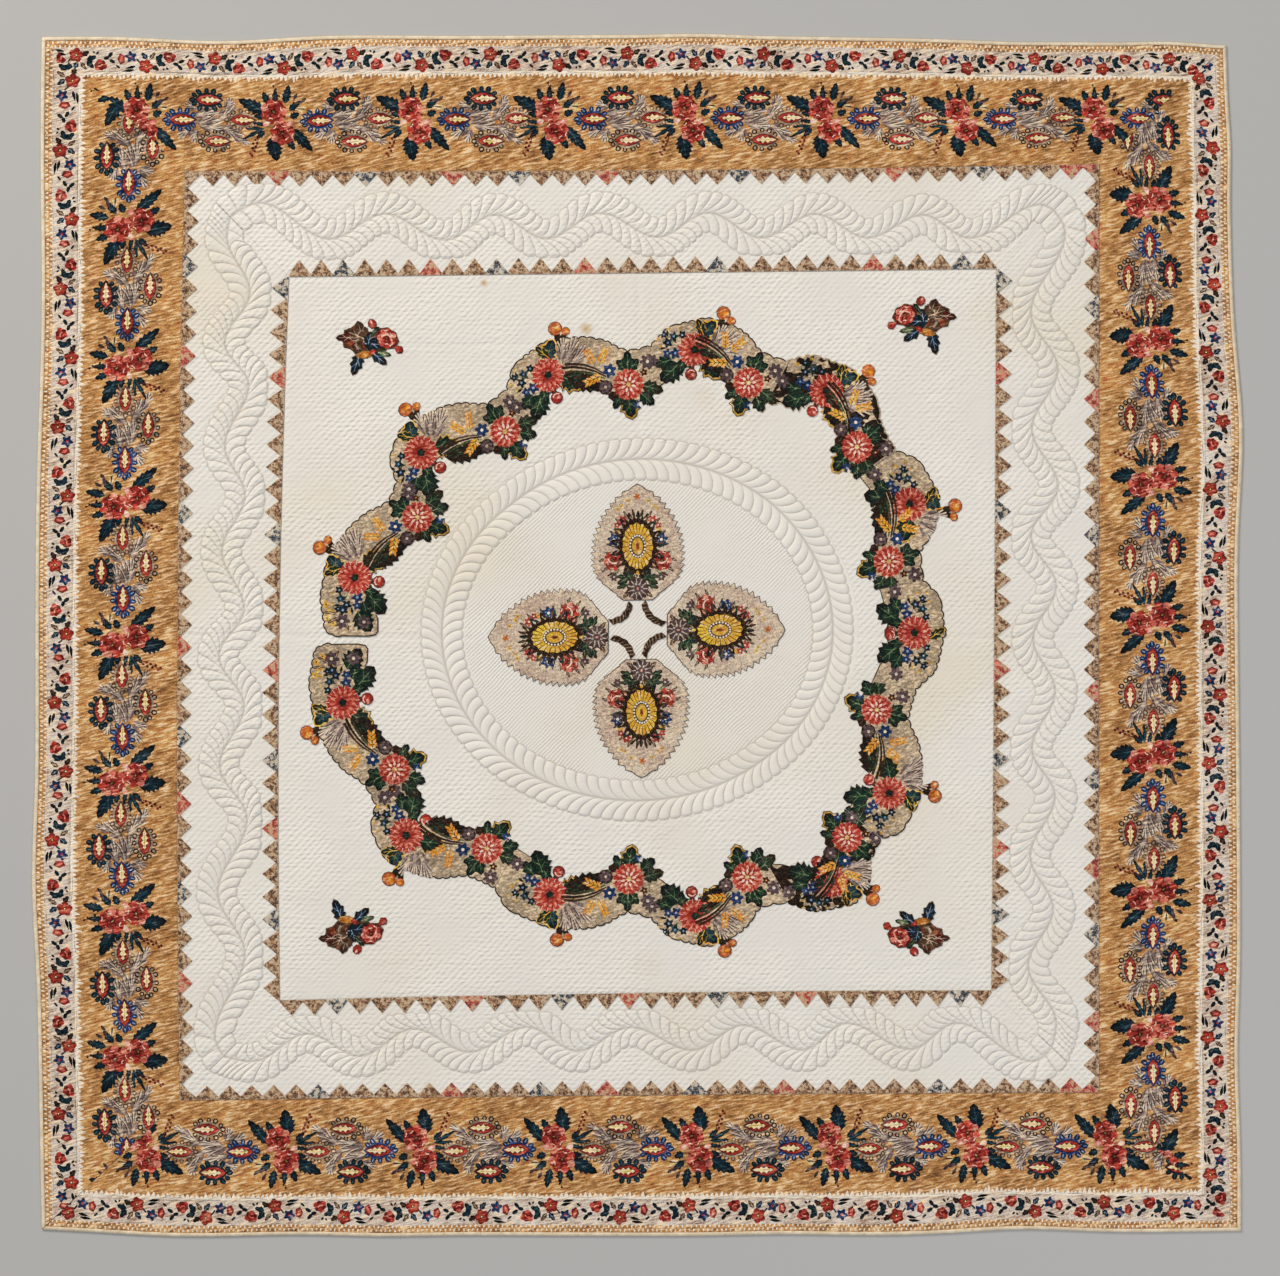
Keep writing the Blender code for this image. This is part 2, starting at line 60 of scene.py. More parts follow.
OUTER_HALF = 1.496
BINDING_WIDTH = 0.009
CHINTZ_INNER = 1.1525
CENTRE_HALF = 0.896
SEAM = 0.0004
GROUND = 0.0040
GROOVE = 0.0031
FEATHER_TOP = 0.0070
SIDES = ("top", "right", "bottom", "left")
print("side", 2 * OUTER_HALF, "m, chintz border", round(OUTER_HALF - CHINTZ_INNER, 4), "m wide")

# %% How the cloth has pulled
# half side, then the pull to the right and up in mm, clockwise from the top left corner
PULL_ROWS = (
    (0.0, *[(0, 0)] * 8),
    (CENTRE_HALF, (19, 1), (0, 11), (-6, 21), (-11, 0), (-18, 11), (0, 4), (-4, -14), (-6, 0)),
    (CHINTZ_INNER, (15, 10), (0, 11), (-5, 27), (-6, 0), (-5, 12), (0, 5), (2, -8), (-4, 0)),
    (OUTER_HALF, (1, 1), (0, 6), (-31, -21), (-1, 0), (6, 9), (0, -4), (1, 14), (-15, 0)),
)
# slow waves of the edge: side, place clockwise along it, half length, bulge in mm
EDGE_WAVES = (
    (0, -1.05, 0.20, -15), (0, -0.45, 0.30, -4), (0, 0.15, 0.12, 4), (0, 0.95, 0.15, -4),
    (0, 1.35, 0.10, 6), (1, -1.24, 0.10, 5), (1, -0.52, 0.22, 19), (1, 1.06, 0.18, -8),
    (2, -0.95, 0.18, -12), (2, -0.35, 0.15, -4), (2, 0.65, 0.15, 5), (2, 1.15, 0.25, 12),
    (3, -0.62, 0.20, 11), (3, 0.80, 0.35, -11),
)
RING_HALF = np.array([row[0] for row in PULL_ROWS])
RING_PULL = np.array([row[1:] for row in PULL_ROWS], float) / 1000
OUTWARDS = np.array([(0, 1), (1, 0), (0, -1), (-1, 0)], float)


def side_point(side, along, out):
    """A place given clockwise along a side and outwards, as x and y."""
    for _ in range(side):
        along, out = out, -along
    return along, out


def pulled(points):
    """Moves points of the true square, an array of x and y, with the cloth."""
    x, y = points[:, 0], points[:, 1]
    out = np.maximum(np.maximum(abs(x), abs(y)), 1e-9)
    side = np.select([y >= abs(x), x >= abs(y), -y >= abs(x)], [0, 1, 2], 3)
    along = np.choose(side, [x, -y, -x, y])
    share = np.clip(along / out, -1, 1)
    weights = (share * (share - 1) / 2, 1 - share**2, share * (share + 1) / 2)
    rings = sum(
        weight[None, :, None] * RING_PULL[:, (2 * side + step) % 8]
        for step, weight in enumerate(weights)
    )
    ring = np.clip(np.searchsorted(RING_HALF, out) - 1, 0, 2)
    mix = np.clip((out - RING_HALF[ring]) / (RING_HALF[ring + 1] - RING_HALF[ring]), 0, 1)[:, None]
    each = np.arange(len(points))
    moved = points + rings[ring, each] * (1 - mix) + rings[ring + 1, each] * mix
    edge = np.maximum(0, (out - CHINTZ_INNER) / (OUTER_HALF - CHINTZ_INNER))
    for wave_side, place, half_length, bulge in EDGE_WAVES:
        rise = np.exp(-(((share * OUTER_HALF - place) / half_length) ** 2)) * edge * (side == wave_side)
        moved = moved + (bulge / 1000 * rise)[:, None] * OUTWARDS[wave_side]
    return moved


edge_points = pulled(np.array([
    side_point(side, share * OUTER_HALF, OUTER_HALF)
    for side in range(4)
    for share in np.linspace(-1, 1, 25)
]))
MIDDLE = (edge_points.min(axis=0) + edge_points.max(axis=0)) / 2


def lie(points):
    """Where points of the true square lie on the quilt, with the quilt's middle at the origin."""
    return pulled(np.asarray(points, float)) - MIDDLE


# %% [markdown]
# ## Wrinkles and folds
# A quilt that was stored folded in four keeps two soft creases, and hand quilting draws small puckers between
# its stitches. Both are worked out as heights, from smooth noise and a short table of creases. The noise
# comes from a formula and not from chance, so the cloth is the same each time.

# %% Heights of the cloth
# troughs: one end, other end, half width in mm, depth in mm
CREASES = (
    ((-1.50, 0.006), (-0.42, -0.004), 7, 0.9),
    ((-0.42, -0.004), (0.50, 0.000), 6, 0.5),
    ((0.50, 0.000), (1.16, -0.006), 6, 1.0),
    ((1.16, -0.006), (1.42, 0.004), 6, 2.4),
    ((0.000, 1.49), (-0.004, 0.40), 7, 0.7),
    ((-0.004, 0.40), (0.004, -0.40), 6, 0.4),
    ((0.004, -0.40), (-0.004, -1.49), 7, 0.7),
    ((-0.89, 0.722), (-0.20, 0.724), 5, 0.7),
    ((1.17, 0.765), (1.40, 0.758), 6, 1.7),
    ((1.17, 0.735), (1.36, 0.742), 5, 1.4),
    ((1.16, -0.735), (1.38, -0.742), 7, 1.6),
    ((-1.42, 0.800), (-1.18, 0.765), 6, 1.6),
    ((-1.44, 0.830), (-1.30, 0.835), 6, 1.0),
    ((-1.44, -0.330), (-1.20, -0.345), 6, 0.8),
    ((0.60, -1.36), (0.64, -1.18), 6, 0.8),
)


def noise(x, y, seed):
    """Smooth noise from 0 to 1 with lumps one unit across."""
    low_x, low_y = np.floor(x), np.floor(y)
    mix_x, mix_y = x - low_x, y - low_y
    mix_x, mix_y = mix_x**2 * (3 - 2 * mix_x), mix_y**2 * (3 - 2 * mix_y)

    def knot(i, j):
        wild = np.sin((low_x + i) * 127.1 + (low_y + j) * 311.7 + seed * 74.7) * 43758.5453
        return wild - np.floor(wild)

    lower = knot(0, 0) * (1 - mix_x) + knot(1, 0) * mix_x
    upper = knot(0, 1) * (1 - mix_x) + knot(1, 1) * mix_x
    return lower * (1 - mix_y) + upper * mix_y


def crease_depth(x, y):
    depth = np.zeros_like(x)
    for (x0, y0), (x1, y1), half_width, deep in CREASES:
        run_x, run_y = x1 - x0, y1 - y0
        length = math.hypot(run_x, run_y)
        share = np.clip(((x - x0) * run_x + (y - y0) * run_y) / length**2, 0, 1)
        wander = 0.004 * (noise(share * length / 0.05, share * 0, half_width) - 0.5)
        away = np.hypot(x - x0 - share * run_x, y - y0 - share * run_y) + wander
        trough = np.exp(-((away / (half_width / 1000)) ** 2))
        ridge = 0.45 * np.exp(-(((away - 0.0022 * half_width) / (half_width / 1000)) ** 2))
        depth += deep / 1000 * (trough - ridge) * (0.6 + 0.4 * np.sin(math.pi * share))
    return depth


def puckers(x, y, strength):
    """Small lumps between the stitches, drawn out from left to right as the cloth has shrunk."""
    fine = noise(x / 0.030, y / 0.014, 1) * 0.6 + noise(x / 0.013, y / 0.011, 2) * 0.4
    slow = noise(x / 0.12, y / 0.09, 3)
    return strength * (fine * (0.5 + slow) - 0.5)


print("creases placed by hand:", len(CREASES))

# %% [markdown]
# ## Building a piece of cloth
# Every piece starts as an open upper surface: points, triangles and, where it is printed, a colour at each
# triangle's corners. `make_sheet` welds the parts of the surface, walks round its edge, drops a narrow
# turned wall to the underside and closes it with one flat face, so each piece is a closed body of cloth.

# %% Weld a surface and walk round its edge
def welded(points, triangles):
    """Makes points that lie within 10 micrometres of each other one."""
    _, first, index = np.unique(np.round(points[:, :2] * 1e5).astype(np.int64), axis=0, return_index=True,
                                return_inverse=True)
    return first, index.reshape(-1)[triangles]


def open_edges(triangles, count):
    """Start and end of each edge that only one triangle has."""
    starts, ends = triangles.reshape(-1), np.roll(triangles, -1, axis=1).reshape(-1)
    open_ones = ~np.isin(starts * count + ends, ends * count + starts)
    return list(zip(starts[open_ones].tolist(), ends[open_ones].tolist()))


def edge_loop(triangles, count):
    """The points round the edge of a surface, counterclockwise."""
    edges, following = open_edges(triangles, count), {}
    for start, end in edges:
        following.setdefault(start, []).append(end)
    path, loop = [edges[0][0]], []
    while path:
        if following.get(path[-1]):
            path.append(following[path[-1]].pop())
        else:
            loop.append(path.pop())
    loop = loop[:0:-1]
    if len(loop) != len(edges):
        raise ValueError(f"the edge has {len(edges)} points and the loop {len(loop)}")
    return np.array(loop)


print("a lone triangle has", len(edge_loop(np.array([[0, 1, 2]]), 3)), "edge points")

# %% Make a closed sheet
SHARP_ANGLE = 70  # degrees between faces, above which an edge isn't shaded smooth
NARROWEST = 0.0102  # least width given for a strip, in metres
BOX_SHARE = 0.3  # a piece that fills less of its box is measured as a strip


def make_sheet(node, points, triangles, materials, paint=None, marks=None, underside=0.0,
               surface=None):
    """points is x, y, z on the true square. paint is a colour and marks a number for each triangle's corners, and
    marks is the painted shade of the stitched grooves.
    surface is which material each triangle has. The last material is the cloth of the back."""
    kept, triangles = welded(points, triangles)
    whole = (triangles[:, 0] != triangles[:, 1]) & (triangles[:, 1] != triangles[:, 2])
    whole &= triangles[:, 2] != triangles[:, 0]
    triangles = triangles[whole]
    points = points[kept]
    points = np.column_stack([lie(points[:, :2]), points[:, 2]])
    loop = edge_loop(triangles, len(points))
    lower = np.column_stack([points[loop, :2], np.full(len(loop), underside)])
    low = len(points) + np.arange(len(loop))
    ahead, low_ahead = np.roll(loop, -1), np.roll(low, -1)
    walls = np.column_stack([ahead, loop, low, low_ahead])
    faces = [*triangles.tolist(), *walls.tolist(), low[::-1].tolist()]
    mesh = bpy.data.meshes.new(node + "_cloth")
    mesh.from_pydata(np.vstack([points, lower]).tolist(), [], faces)
    for material in materials:
        mesh.materials.append(material)
    index = np.zeros(len(faces), np.int32)
    if surface is not None:
        index[: len(triangles)] = surface[whole]
        index[len(triangles) : -1] = surface[whole][0]
    index[-1] = len(materials) - 1
    mesh.polygons.foreach_set("material_index", index)
    top_corners, other_corners = triangles.size, 5 * len(loop)
    if paint is not None:
        corner_paint = np.ones((top_corners + other_corners, 4))
        corner_paint[:top_corners, :3] = paint[whole].reshape(-1, 3)
        at_point = np.zeros((len(points), 3))
        at_point[triangles.reshape(-1)] = paint[whole].reshape(-1, 3)
        wall_paint = at_point[np.column_stack([ahead, loop, loop, ahead]).reshape(-1)]
        corner_paint[top_corners : top_corners + 4 * len(loop), :3] = wall_paint
        layer = mesh.color_attributes.new("print", "FLOAT_COLOR", "CORNER")
        layer.data.foreach_set("color", corner_paint.reshape(-1))
    # the marks go onto the mesh as the painted shade of the stitched grooves, which the white cotton reads
    if marks is not None:
        layer = mesh.attributes.new("stitch_shade", "FLOAT", "CORNER")
        layer.data.foreach_set("value", np.append(marks[whole].reshape(-1), np.zeros(other_corners)))
    mesh.shade_smooth()
    mesh.set_sharp_from_angle(angle=math.radians(SHARP_ANGLE))
    piece = bpy.data.objects.new(node + "_cloth", mesh)
    bpy.context.scene.collection.objects.link(piece)
    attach(piece, "root")
    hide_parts(node)
    low_corner, high_corner = points.min(axis=0), points.max(axis=0)
    corners = points[triangles]
    spread = np.cross(corners[:, 1] - corners[:, 0], corners[:, 2] - corners[:, 0])
    area = abs(spread[:, 2]).sum() / 2
    width, length = (high_corner - low_corner)[:2]
    if area >= BOX_SHARE * width * length:
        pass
    else:
        across = max(area / max(width, length), NARROWEST)
        max(width, length)
    print(f"{piece.name}: {len(triangles) + 2 * len(loop)} triangles, {area:.3f} m2")
    return piece

# %% [markdown]
# ## Filling a shape with cloth
# Flat stretches are filled with points on a staggered grid and joined by Blender's constrained Delaunay
# triangulation, which is exact at the borders of a shape. The same tool lays prints: each printed shape is
# a closed outline, and the last one that holds a triangle gives it its colour, as the last block does.

# %% Fill an outline with triangles
def staggered(low, high, spacing):
    """Points of an even triangular grid in a box, shifted a little so that no rows line up by eye."""
    rows = np.arange(low[1], high[1], spacing * 0.87)
    columns = np.arange(low[0], high[0], spacing)
    x, y = np.meshgrid(columns, rows)
    x = x + (np.arange(len(rows)) % 2 * spacing / 2)[:, None]
    shift = 0.25 * spacing
    return np.column_stack([
        (x + shift * (noise(x / spacing * 1.7, y / spacing * 1.7, 5) - 0.5)).reshape(-1),
        (y + shift * (noise(x / spacing * 1.7, y / spacing * 1.7, 6) - 0.5)).reshape(-1),
    ])


def counterclockwise(outline):
    following = np.roll(outline, -1, axis=0)
    turn = (outline[:, 0] * following[:, 1] - following[:, 0] * outline[:, 1]).sum()
    return outline if turn > 0 else outline[::-1]


def inside(points, outline):
    """Which points lie inside an outline, by counting the edges to their right."""
    within = np.zeros(len(points), bool)
    x, y = points[:, 0], points[:, 1]
    for (x0, y0), (x1, y1) in zip(outline, np.roll(outline, -1, axis=0)):
        if y0 != y1:
            crosses = ((y0 > y) != (y1 > y)) & (x < (x1 - x0) * (y - y0) / (y1 - y0) + x0)
            within ^= crosses
    return within


def edge_distance(points, outline, reach):
    """How far points are from the nearest edge of an outline, up to a reach."""
    away = np.full(len(points), reach)
    for start, end in zip(outline, np.roll(outline, -1, axis=0)):
        run = end - start
        box_low, box_high = np.minimum(start, end) - reach, np.maximum(start, end) + reach
        near = np.flatnonzero(((points > box_low) & (points < box_high)).all(axis=1))
        share = np.clip(((points[near] - start) @ run) / max(run @ run, 1e-12), 0, 1)
        away[near] = np.minimum(away[near], np.hypot(*(points[near] - start - share[:, None] * run).T))
    return away


def clear_of(points, outline, distance):
    """Which points are at least a distance from every edge of an outline."""
    return edge_distance(points, outline, distance) >= distance


def filled(outline, spacing, shapes=(), holes=(), extra=None):
    """Triangles that fill an outline. Returns points, triangles and the topmost shape of each, from -1."""
    outline = counterclockwise(np.asarray(outline, float))
    loose = staggered(outline.min(axis=0), outline.max(axis=0), spacing)
    loose = loose[inside(loose, outline) & clear_of(loose, outline, 0.45 * spacing)]
    for hole in holes:
        loose = loose[~inside(loose, hole) & clear_of(loose, hole, 0.45 * spacing)]
    outlines = [outline, *[counterclockwise(hole) for hole in holes]]
    outlines += [counterclockwise(np.asarray(shape, float)) for shape in shapes]
    points = np.vstack([*outlines, loose] + ([] if extra is None else [extra]))
    ends = np.cumsum([0, *[len(each) for each in outlines]])
    loops = [list(range(a, b)) for a, b in zip(ends, ends[1:])]
    scale = 1000.0
    found = delaunay_2d_cdt([tuple(p) for p in np.round(points * scale, 3)], [], loops, 1, 1e-3, True)
    made = np.array([tuple(p) for p in found[0]]) / scale
    holding = found[5]
    hole_count = len(holes)
    keep, top = [], []
    for number, loops_here in enumerate(holding):
        if 0 in loops_here and not any(0 < loop <= hole_count for loop in loops_here):
            keep.append(number)
            top.append(max(loops_here) - 1 - hole_count if max(loops_here) > 0 else -1)
    triangles = np.array([found[2][number] for number in keep])
    used, triangles = np.unique(triangles, return_inverse=True)
    return made[used], triangles.reshape(-1, 3), np.array(top)


square = np.array([(-1, -1), (1, -1), (1, 1), (-1, 1)]) * 0.1
test_points, test_triangles, _ = filled(square, 0.02, shapes=[square * 0.4])
print("a test patch has", len(test_triangles), "triangles")

# %% [markdown]
# ## Materials
# White cotton is never one flat white: it has yellowed a little, its yarns have slubs, and the close
# background quilting covers it with small pillows. Those are too fine for the mesh, so they are bump. The
# printed cloths take their colour from the shapes cut into their mesh, over the same kind of weave.

# %% A cloth in the making
def colour(code):
    """An sRGB hex colour as linear red, green and blue."""
    parts = [int(code[i : i + 2], 16) / 255 for i in (1, 3, 5)]
    return tuple(v / 12.92 if v <= 0.04045 else ((v + 0.055) / 1.055) ** 2.4 for v in parts)


YARN = 0.0024


class Cloth:
    """A material in the making. Its methods add nodes and return what comes out of them."""

    def __init__(self, name, roughness, specular=0.5):
        self.material = bpy.data.materials.new(name)
        self.material.use_nodes = True
        self.tree = self.material.node_tree
        self.shader = self.tree.nodes["Principled BSDF"].inputs
        self.shader["Roughness"].default_value = roughness
        self.shader["Specular IOR Level"].default_value = specular
        self.place = self.add("TexCoord").outputs["Object"]

    def add(self, kind, settings=None, **links):
        """settings are a node's properties, links its inputs: a value, a hex colour or another's output."""
        node = self.tree.nodes.new("ShaderNode" + kind)
        for name, value in (settings or {}).items():
            setattr(node, name, value)
        for name, value in links.items():
            socket = node.inputs[int(name[1:]) if name[1:].isdigit() else name.replace("_", " ")]
            if isinstance(value, bpy.types.NodeSocket):
                self.tree.links.new(value, socket)
            else:
                socket.default_value = (*colour(value), 1.0) if isinstance(value, str) else value
        return node

    def value(self, operation, first, second=0.0, third=0.0):
        return self.add("Math", {"operation": operation}, i0=first, i1=second, i2=third).outputs[0]

    def times(self, first, second, plus=0.0):
        return self.value("MULTIPLY_ADD", first, second, plus)

    def mix(self, share, first, second, blend="MIX"):
        kind = {"data_type": "RGBA", "blend_type": blend}
        return self.add("Mix", kind, i0=share, i6=first, i7=second).outputs[2]

    def ramp(self, share, low, high):
        """0 below low, 1 above high and smooth between."""
        smooth = {"interpolation_type": "SMOOTHSTEP"}
        return self.add("MapRange", smooth, Value=share, From_Min=low, From_Max=high).outputs[0]

    def lines(self, x, y, turn, pitch):
        """Waves from -1 to 1 across parallel lines turned by some degrees, a pitch in metres apart."""
        across = math.radians(turn + 90)
        run = self.times(y, math.sin(across) * 2 * math.pi / pitch)
        return self.value("SINE", self.times(x, math.cos(across) * 2 * math.pi / pitch, run))

    def lumps(self, across, detail=2.0, stretch=(1, 1, 1), place=None):
        """Soft noise from 0 to 1 with lumps of a size in metres."""
        scaled = self.add("Mapping", Vector=place or self.place, Scale=stretch).outputs[0]
        return self.add("TexNoise", Vector=scaled, Scale=1 / across, Detail=detail).outputs["Fac"]

    def finish(self, ink, relief, depth):
        """Lays on the ink and a relief over yarns and their slubs, drawn at 2.4 mm, coarser than real."""
        yarns = self.value("ADD", self.lumps(YARN, 1.0, (1, 0.10, 1)), self.lumps(YARN, 1.0, (0.10, 1, 1)))
        fine = self.add("Bump", Strength=0.35, Distance=0.0003, Height=yarns).outputs[0]
        bump = self.add("Bump", Strength=1.0, Distance=depth, Height=relief, Normal=fine).outputs[0]
        self.tree.links.new(ink, self.shader["Base Color"])
        self.tree.links.new(bump, self.shader["Normal"])
        return self.material


print("yarns", 1000 * YARN, "mm apart")

# %% White cotton, quilted
# the ring's oval, at which the background quilting changes
RING_MIDDLE = (-0.002, 0.012)
RING_WIDE = 0.490
RING_HIGH = 0.425
INSIDE_FEATHERS = 0.79  # squares of the share of the oval at which the feathers begin and end
OUTSIDE_FEATHERS = 1.25
STAINS = (  # x, y, reach, strength
    (-0.135, 0.767, 0.022, 0.8), (-0.390, 0.882, 0.012, 0.8), (0.16, 0.60, 0.05, 0.12),
    (0.02, -0.82, 0.05, 0.1),
)


def make_white_cotton():
    cloth = Cloth("white cotton, hand quilted", 0.92, 0.10)
    value, times, mix, ramp, lines, lumps = (
        cloth.value, cloth.times, cloth.mix, cloth.ramp, cloth.lines, cloth.lumps
    )
    x, y = cloth.add("SeparateXYZ", Vector=cloth.place).outputs[:2]
    # the feathers themselves have no background quilting
    ring_x = value("DIVIDE", value("SUBTRACT", x, RING_MIDDLE[0] - MIDDLE[0]), RING_WIDE)
    ring_y = value("DIVIDE", value("SUBTRACT", y, RING_MIDDLE[1] - MIDDLE[1]), RING_HIGH)
    squared = times(ring_x, ring_x, times(ring_y, ring_y))
    outside = value("GREATER_THAN", squared, OUTSIDE_FEATHERS)
    within = value("LESS_THAN", squared, INSIDE_FEATHERS)
    # hand quilting wanders, so the lines bend with slow noise
    wander = lumps(0.09)
    bent = times(wander, 0.012, x), times(lumps(0.07, 1.0), -0.012, y)
    crosshatch = times(lines(*bent, 45, 0.0075), 0.25, times(lines(*bent, -45, 0.0075), 0.18))
    outer_field = times(lines(*bent, 45, 0.0125), 0.20, times(lines(*bent, 0, 0.0115), 0.12))
    quilting = times(within, crosshatch, times(outside, outer_field))
    relief = times(lumps(0.0068, 2.0, (0.42, 1, 1)), times(outside, 0.9, 0.45), quilting)
    patchy = lumps(0.16, 3.0)
    relief = times(relief, ramp(patchy, 0.2, 0.62))
    white = mix(ramp(patchy, 0.35, 0.7), "#E9E5DE", "#EFEBE3")
    white = mix(ramp(lumps(0.5), 0.45, 0.75), white, "#E8E0D0")
    for stain_x, stain_y, reach, strength in STAINS:
        spot_at = (stain_x - MIDDLE[0], stain_y - MIDDLE[1], GROUND)
        away = cloth.add("VectorMath", {"operation": "DISTANCE"}, i0=cloth.place, i1=spot_at).outputs["Value"]
        share = value("SUBTRACT", 1.0, ramp(times(wander, 0.5 * reach, away), 0.2 * reach, 1.3 * reach))
        white = mix(times(share, strength), white, "#C9A45C")
    # painted shade in the stitched grooves of the feathers and along the stems, where the mesh marks them
    stitch_shade = cloth.add("Attribute", {"attribute_name": "stitch_shade"}).outputs["Fac"]
    white = mix(times(stitch_shade, 0.42), white, "#8E8070")
    cloth.shader["Sheen Weight"].default_value = 0.08
    return cloth.finish(white, relief, 0.0020)


WHITE_COTTON = make_white_cotton()
print(WHITE_COTTON.name, "has", len(WHITE_COTTON.node_tree.nodes), "nodes")

# %% Plain cotton of the back
backing = Cloth("unbleached cotton backing", 0.93)
backing_ink = backing.mix(backing.lumps(0.08, 3.0), "#DCD3C2", "#E6DFD0")
PLAIN_COTTON = backing.finish(backing_ink, backing.lumps(0.02), 0.0006)
print(PLAIN_COTTON.name)

# %% [markdown]
# ## Camera, light and floor
# Cloth with low relief needs light that comes in low from one side, or its quilting can't be seen. One large
# soft light stands at the upper left, low over the quilt, and the plain surroundings fill the shadows.
# The camera looks straight down through a long lens, so that the square stays square.

# %% Camera
LENS, SENSOR = 157.5, 36.0  # mm
CAMERA_PLACE = (0.0064, -0.0067, 14.0)  # metres, above the quilt
camera_data = bpy.data.cameras.new("camera")
camera_data.lens = LENS
camera_data.sensor_width = SENSOR
camera_data.clip_end = 100.0
camera_data.dof.use_dof = False
camera = bpy.data.objects.new("camera", camera_data)
camera.location = CAMERA_PLACE
bpy.context.scene.collection.objects.link(camera)
bpy.context.scene.camera = camera
print("the frame is", round(SENSOR / LENS * CAMERA_PLACE[2], 3), "m wide")

# %% Light and floor
def area_light(name, place, size, power, tint):
    data = bpy.data.lights.new(name, "AREA")
    data.shape = "SQUARE"
    data.size = size
    data.energy = power
    data.color = colour(tint)
    light = bpy.data.objects.new(name, data)
    light.location = place
    aim = -light.location.normalized()
    light.rotation_euler = aim.to_track_quat("-Z", "Y").to_euler()
    bpy.context.scene.collection.objects.link(light)


# name, place and size in metres, power in watts, tint
area_light("large light, upper left", (-8.7, 9.5, 7.4), 4.2, 1680, "#FFF7EC")
area_light("fill light, right", (6.0, -3.5, 6.5), 4.0, 240, "#F4F7FF")
ROOM_LIGHT = 0.41
world = bpy.data.worlds.new("plain room")
world.use_nodes = True
background = world.node_tree.nodes["Background"].inputs
background["Color"].default_value = (*colour("#F3F3F2"), 1.0)
background["Strength"].default_value = ROOM_LIGHT
bpy.context.scene.world = world
bpy.context.scene.view_settings.view_transform = "Standard"

floor_mesh = bpy.data.meshes.new("floor")
floor_mesh.from_pydata([(-9, -9, 0), (9, -9, 0), (9, 9, 0), (-9, 9, 0)], [], [(0, 1, 2, 3)])
floor = bpy.data.objects.new("floor", floor_mesh)
floor.location.z = -0.0005
bpy.context.scene.collection.objects.link(floor)
floor_finish = Cloth("plain pale floor", 0.9)
floor_finish.shader["Base Color"].default_value = (*colour("#B9B9B8"), 1.0)
floor_mesh.materials.append(floor_finish.material)
print("light and floor ready")

# %% [markdown]
# ## The white ground and its feathers
# Quilted feathers are the showpiece of a white ground: plump lobes in two rows along a stem, each lobe
# stuffed and outlined by stitches. They're drawn with one pattern piece, turned and stretched to fit, and
# the maker fits a whole number of lobes between two corners. The mesh does the same. Every lobe is 8 columns
# wide, and its rows run from the stem to its round tip, so the stitches fall exactly on edges of the mesh.

# %% The pattern of one feather
# place across a lobe, and from its root to its tip
LOBE_COLUMNS = np.array([0.0, 0.09, 0.21, 0.35, 0.50, 0.65, 0.79, 0.91])
LOBE_ROWS = np.array([0.0, 0.05, 0.14, 0.28, 0.43, 0.58, 0.72, 0.84, 0.93, 1.0])
LOBE_NOTCH = 0.86
SKIRT = (0.0030, 0.009)  # ground rows outside the tips
STEM_HALF = 0.0013  # half the gap between the two rows of stitches along a stem


def lobe_tip(across):
    """How far each place across a lobe reaches, as a share of the longest."""
    return LOBE_NOTCH + (1 - LOBE_NOTCH) * (1 - abs(2 * across - 1) ** 2.2) ** (1 / 2.2)


def lobe_height(across, along):
    """Height of a stuffed lobe, and the nearness of its stitches, which sets the painted shade in its grooves, at
    a place across and along it.
    """
    pillow = (1 - abs(2 * across - 1) ** 2.6) ** 0.75
    root = np.minimum(1, along / 0.25) ** 0.6 * (0.66 + 0.34 * along)
    end = np.sqrt(np.maximum(0, 1 - along**8))
    height = GROOVE + (FEATHER_TOP - GROOVE) * pillow * root * end
    beside = np.minimum(across, 1 - across)
    stitch_shade = np.exp(-((beside / 0.05) ** 2)) + np.exp(-((along / 0.03) ** 2))
    return height, np.minimum(stitch_shade + np.exp(-(((1 - along) / 0.03) ** 2)), 1)


def grid_triangles(columns, rows, closed=False):
    """Triangles of a grid of columns and rows of points, counterclockwise if rows go left of columns."""
    column = np.arange(columns if closed else columns - 1)
    row = np.arange(rows - 1)
    i, j = (each.reshape(-1) for each in np.meshgrid(column, row, indexing="ij"))
    ahead = (i + 1) % columns
    a, b, c, d = i * rows + j, ahead * rows + j, ahead * rows + j + 1, i * rows + j + 1
    return np.vstack([np.column_stack([a, b, c]), np.column_stack([a, c, d])])


def tidy(points):
    """Points rounded to 10 micrometres, so that parts of a surface meet exactly."""
    return np.round(points, 5)


def feather_row(way, stations, across, place, reach_of, lean, closed=False):
    """One row of lobes on a stem. stations are places along the stem, clockwise, and place turns a station
    and a distance from the stem into x and y. Returns points, triangles, the painted shade of the stitched
    grooves, inner and outer edge."""
    tip = lobe_tip(across)
    rows = [(w, 0.0) for w in LOBE_ROWS] + [(1.0, skirt) for skirt in SKIRT]
    points, marks = [], []
    for w, skirt in rows:
        at = stations + lean * np.sin(np.pi / 2 * w**0.7)
        # the ground outside the tips follows their notches less and less
        notch = (1 - tip) * w**2 * (1 - 0.8 * skirt / SKIRT[-1])
        away = way * (STEM_HALF + reach_of(at) * w * (1 - notch) + skirt)
        flat = tidy(place(at, away))
        height, stitch_shade = lobe_height(across, np.full_like(across, w))
        level = ground_height(flat)
        if skirt:
            height = level if skirt == SKIRT[-1] else 0.5 * level + 0.5 * GROOVE
            stitch_shade = np.zeros_like(across)
        else:
            height = height - 0.8 * crease_depth(flat[:, 0], flat[:, 1])
        points.append(np.column_stack([flat, height]))
        marks.append(stitch_shade)
    grid = np.stack(points, axis=1)
    triangles = grid_triangles(len(stations), len(rows), closed)
    if way < 0:
        triangles = triangles[:, ::-1]
    part = (grid.reshape(-1, 3), triangles, np.stack(marks, axis=1).reshape(-1))
    return part, grid[:, 0, :2], grid[:, -1, :2]


sample = lobe_height(np.array([0.5]), np.array([0.6]))[0][0]
print("a lobe is", round(1000 * sample, 1), "mm high in its middle")

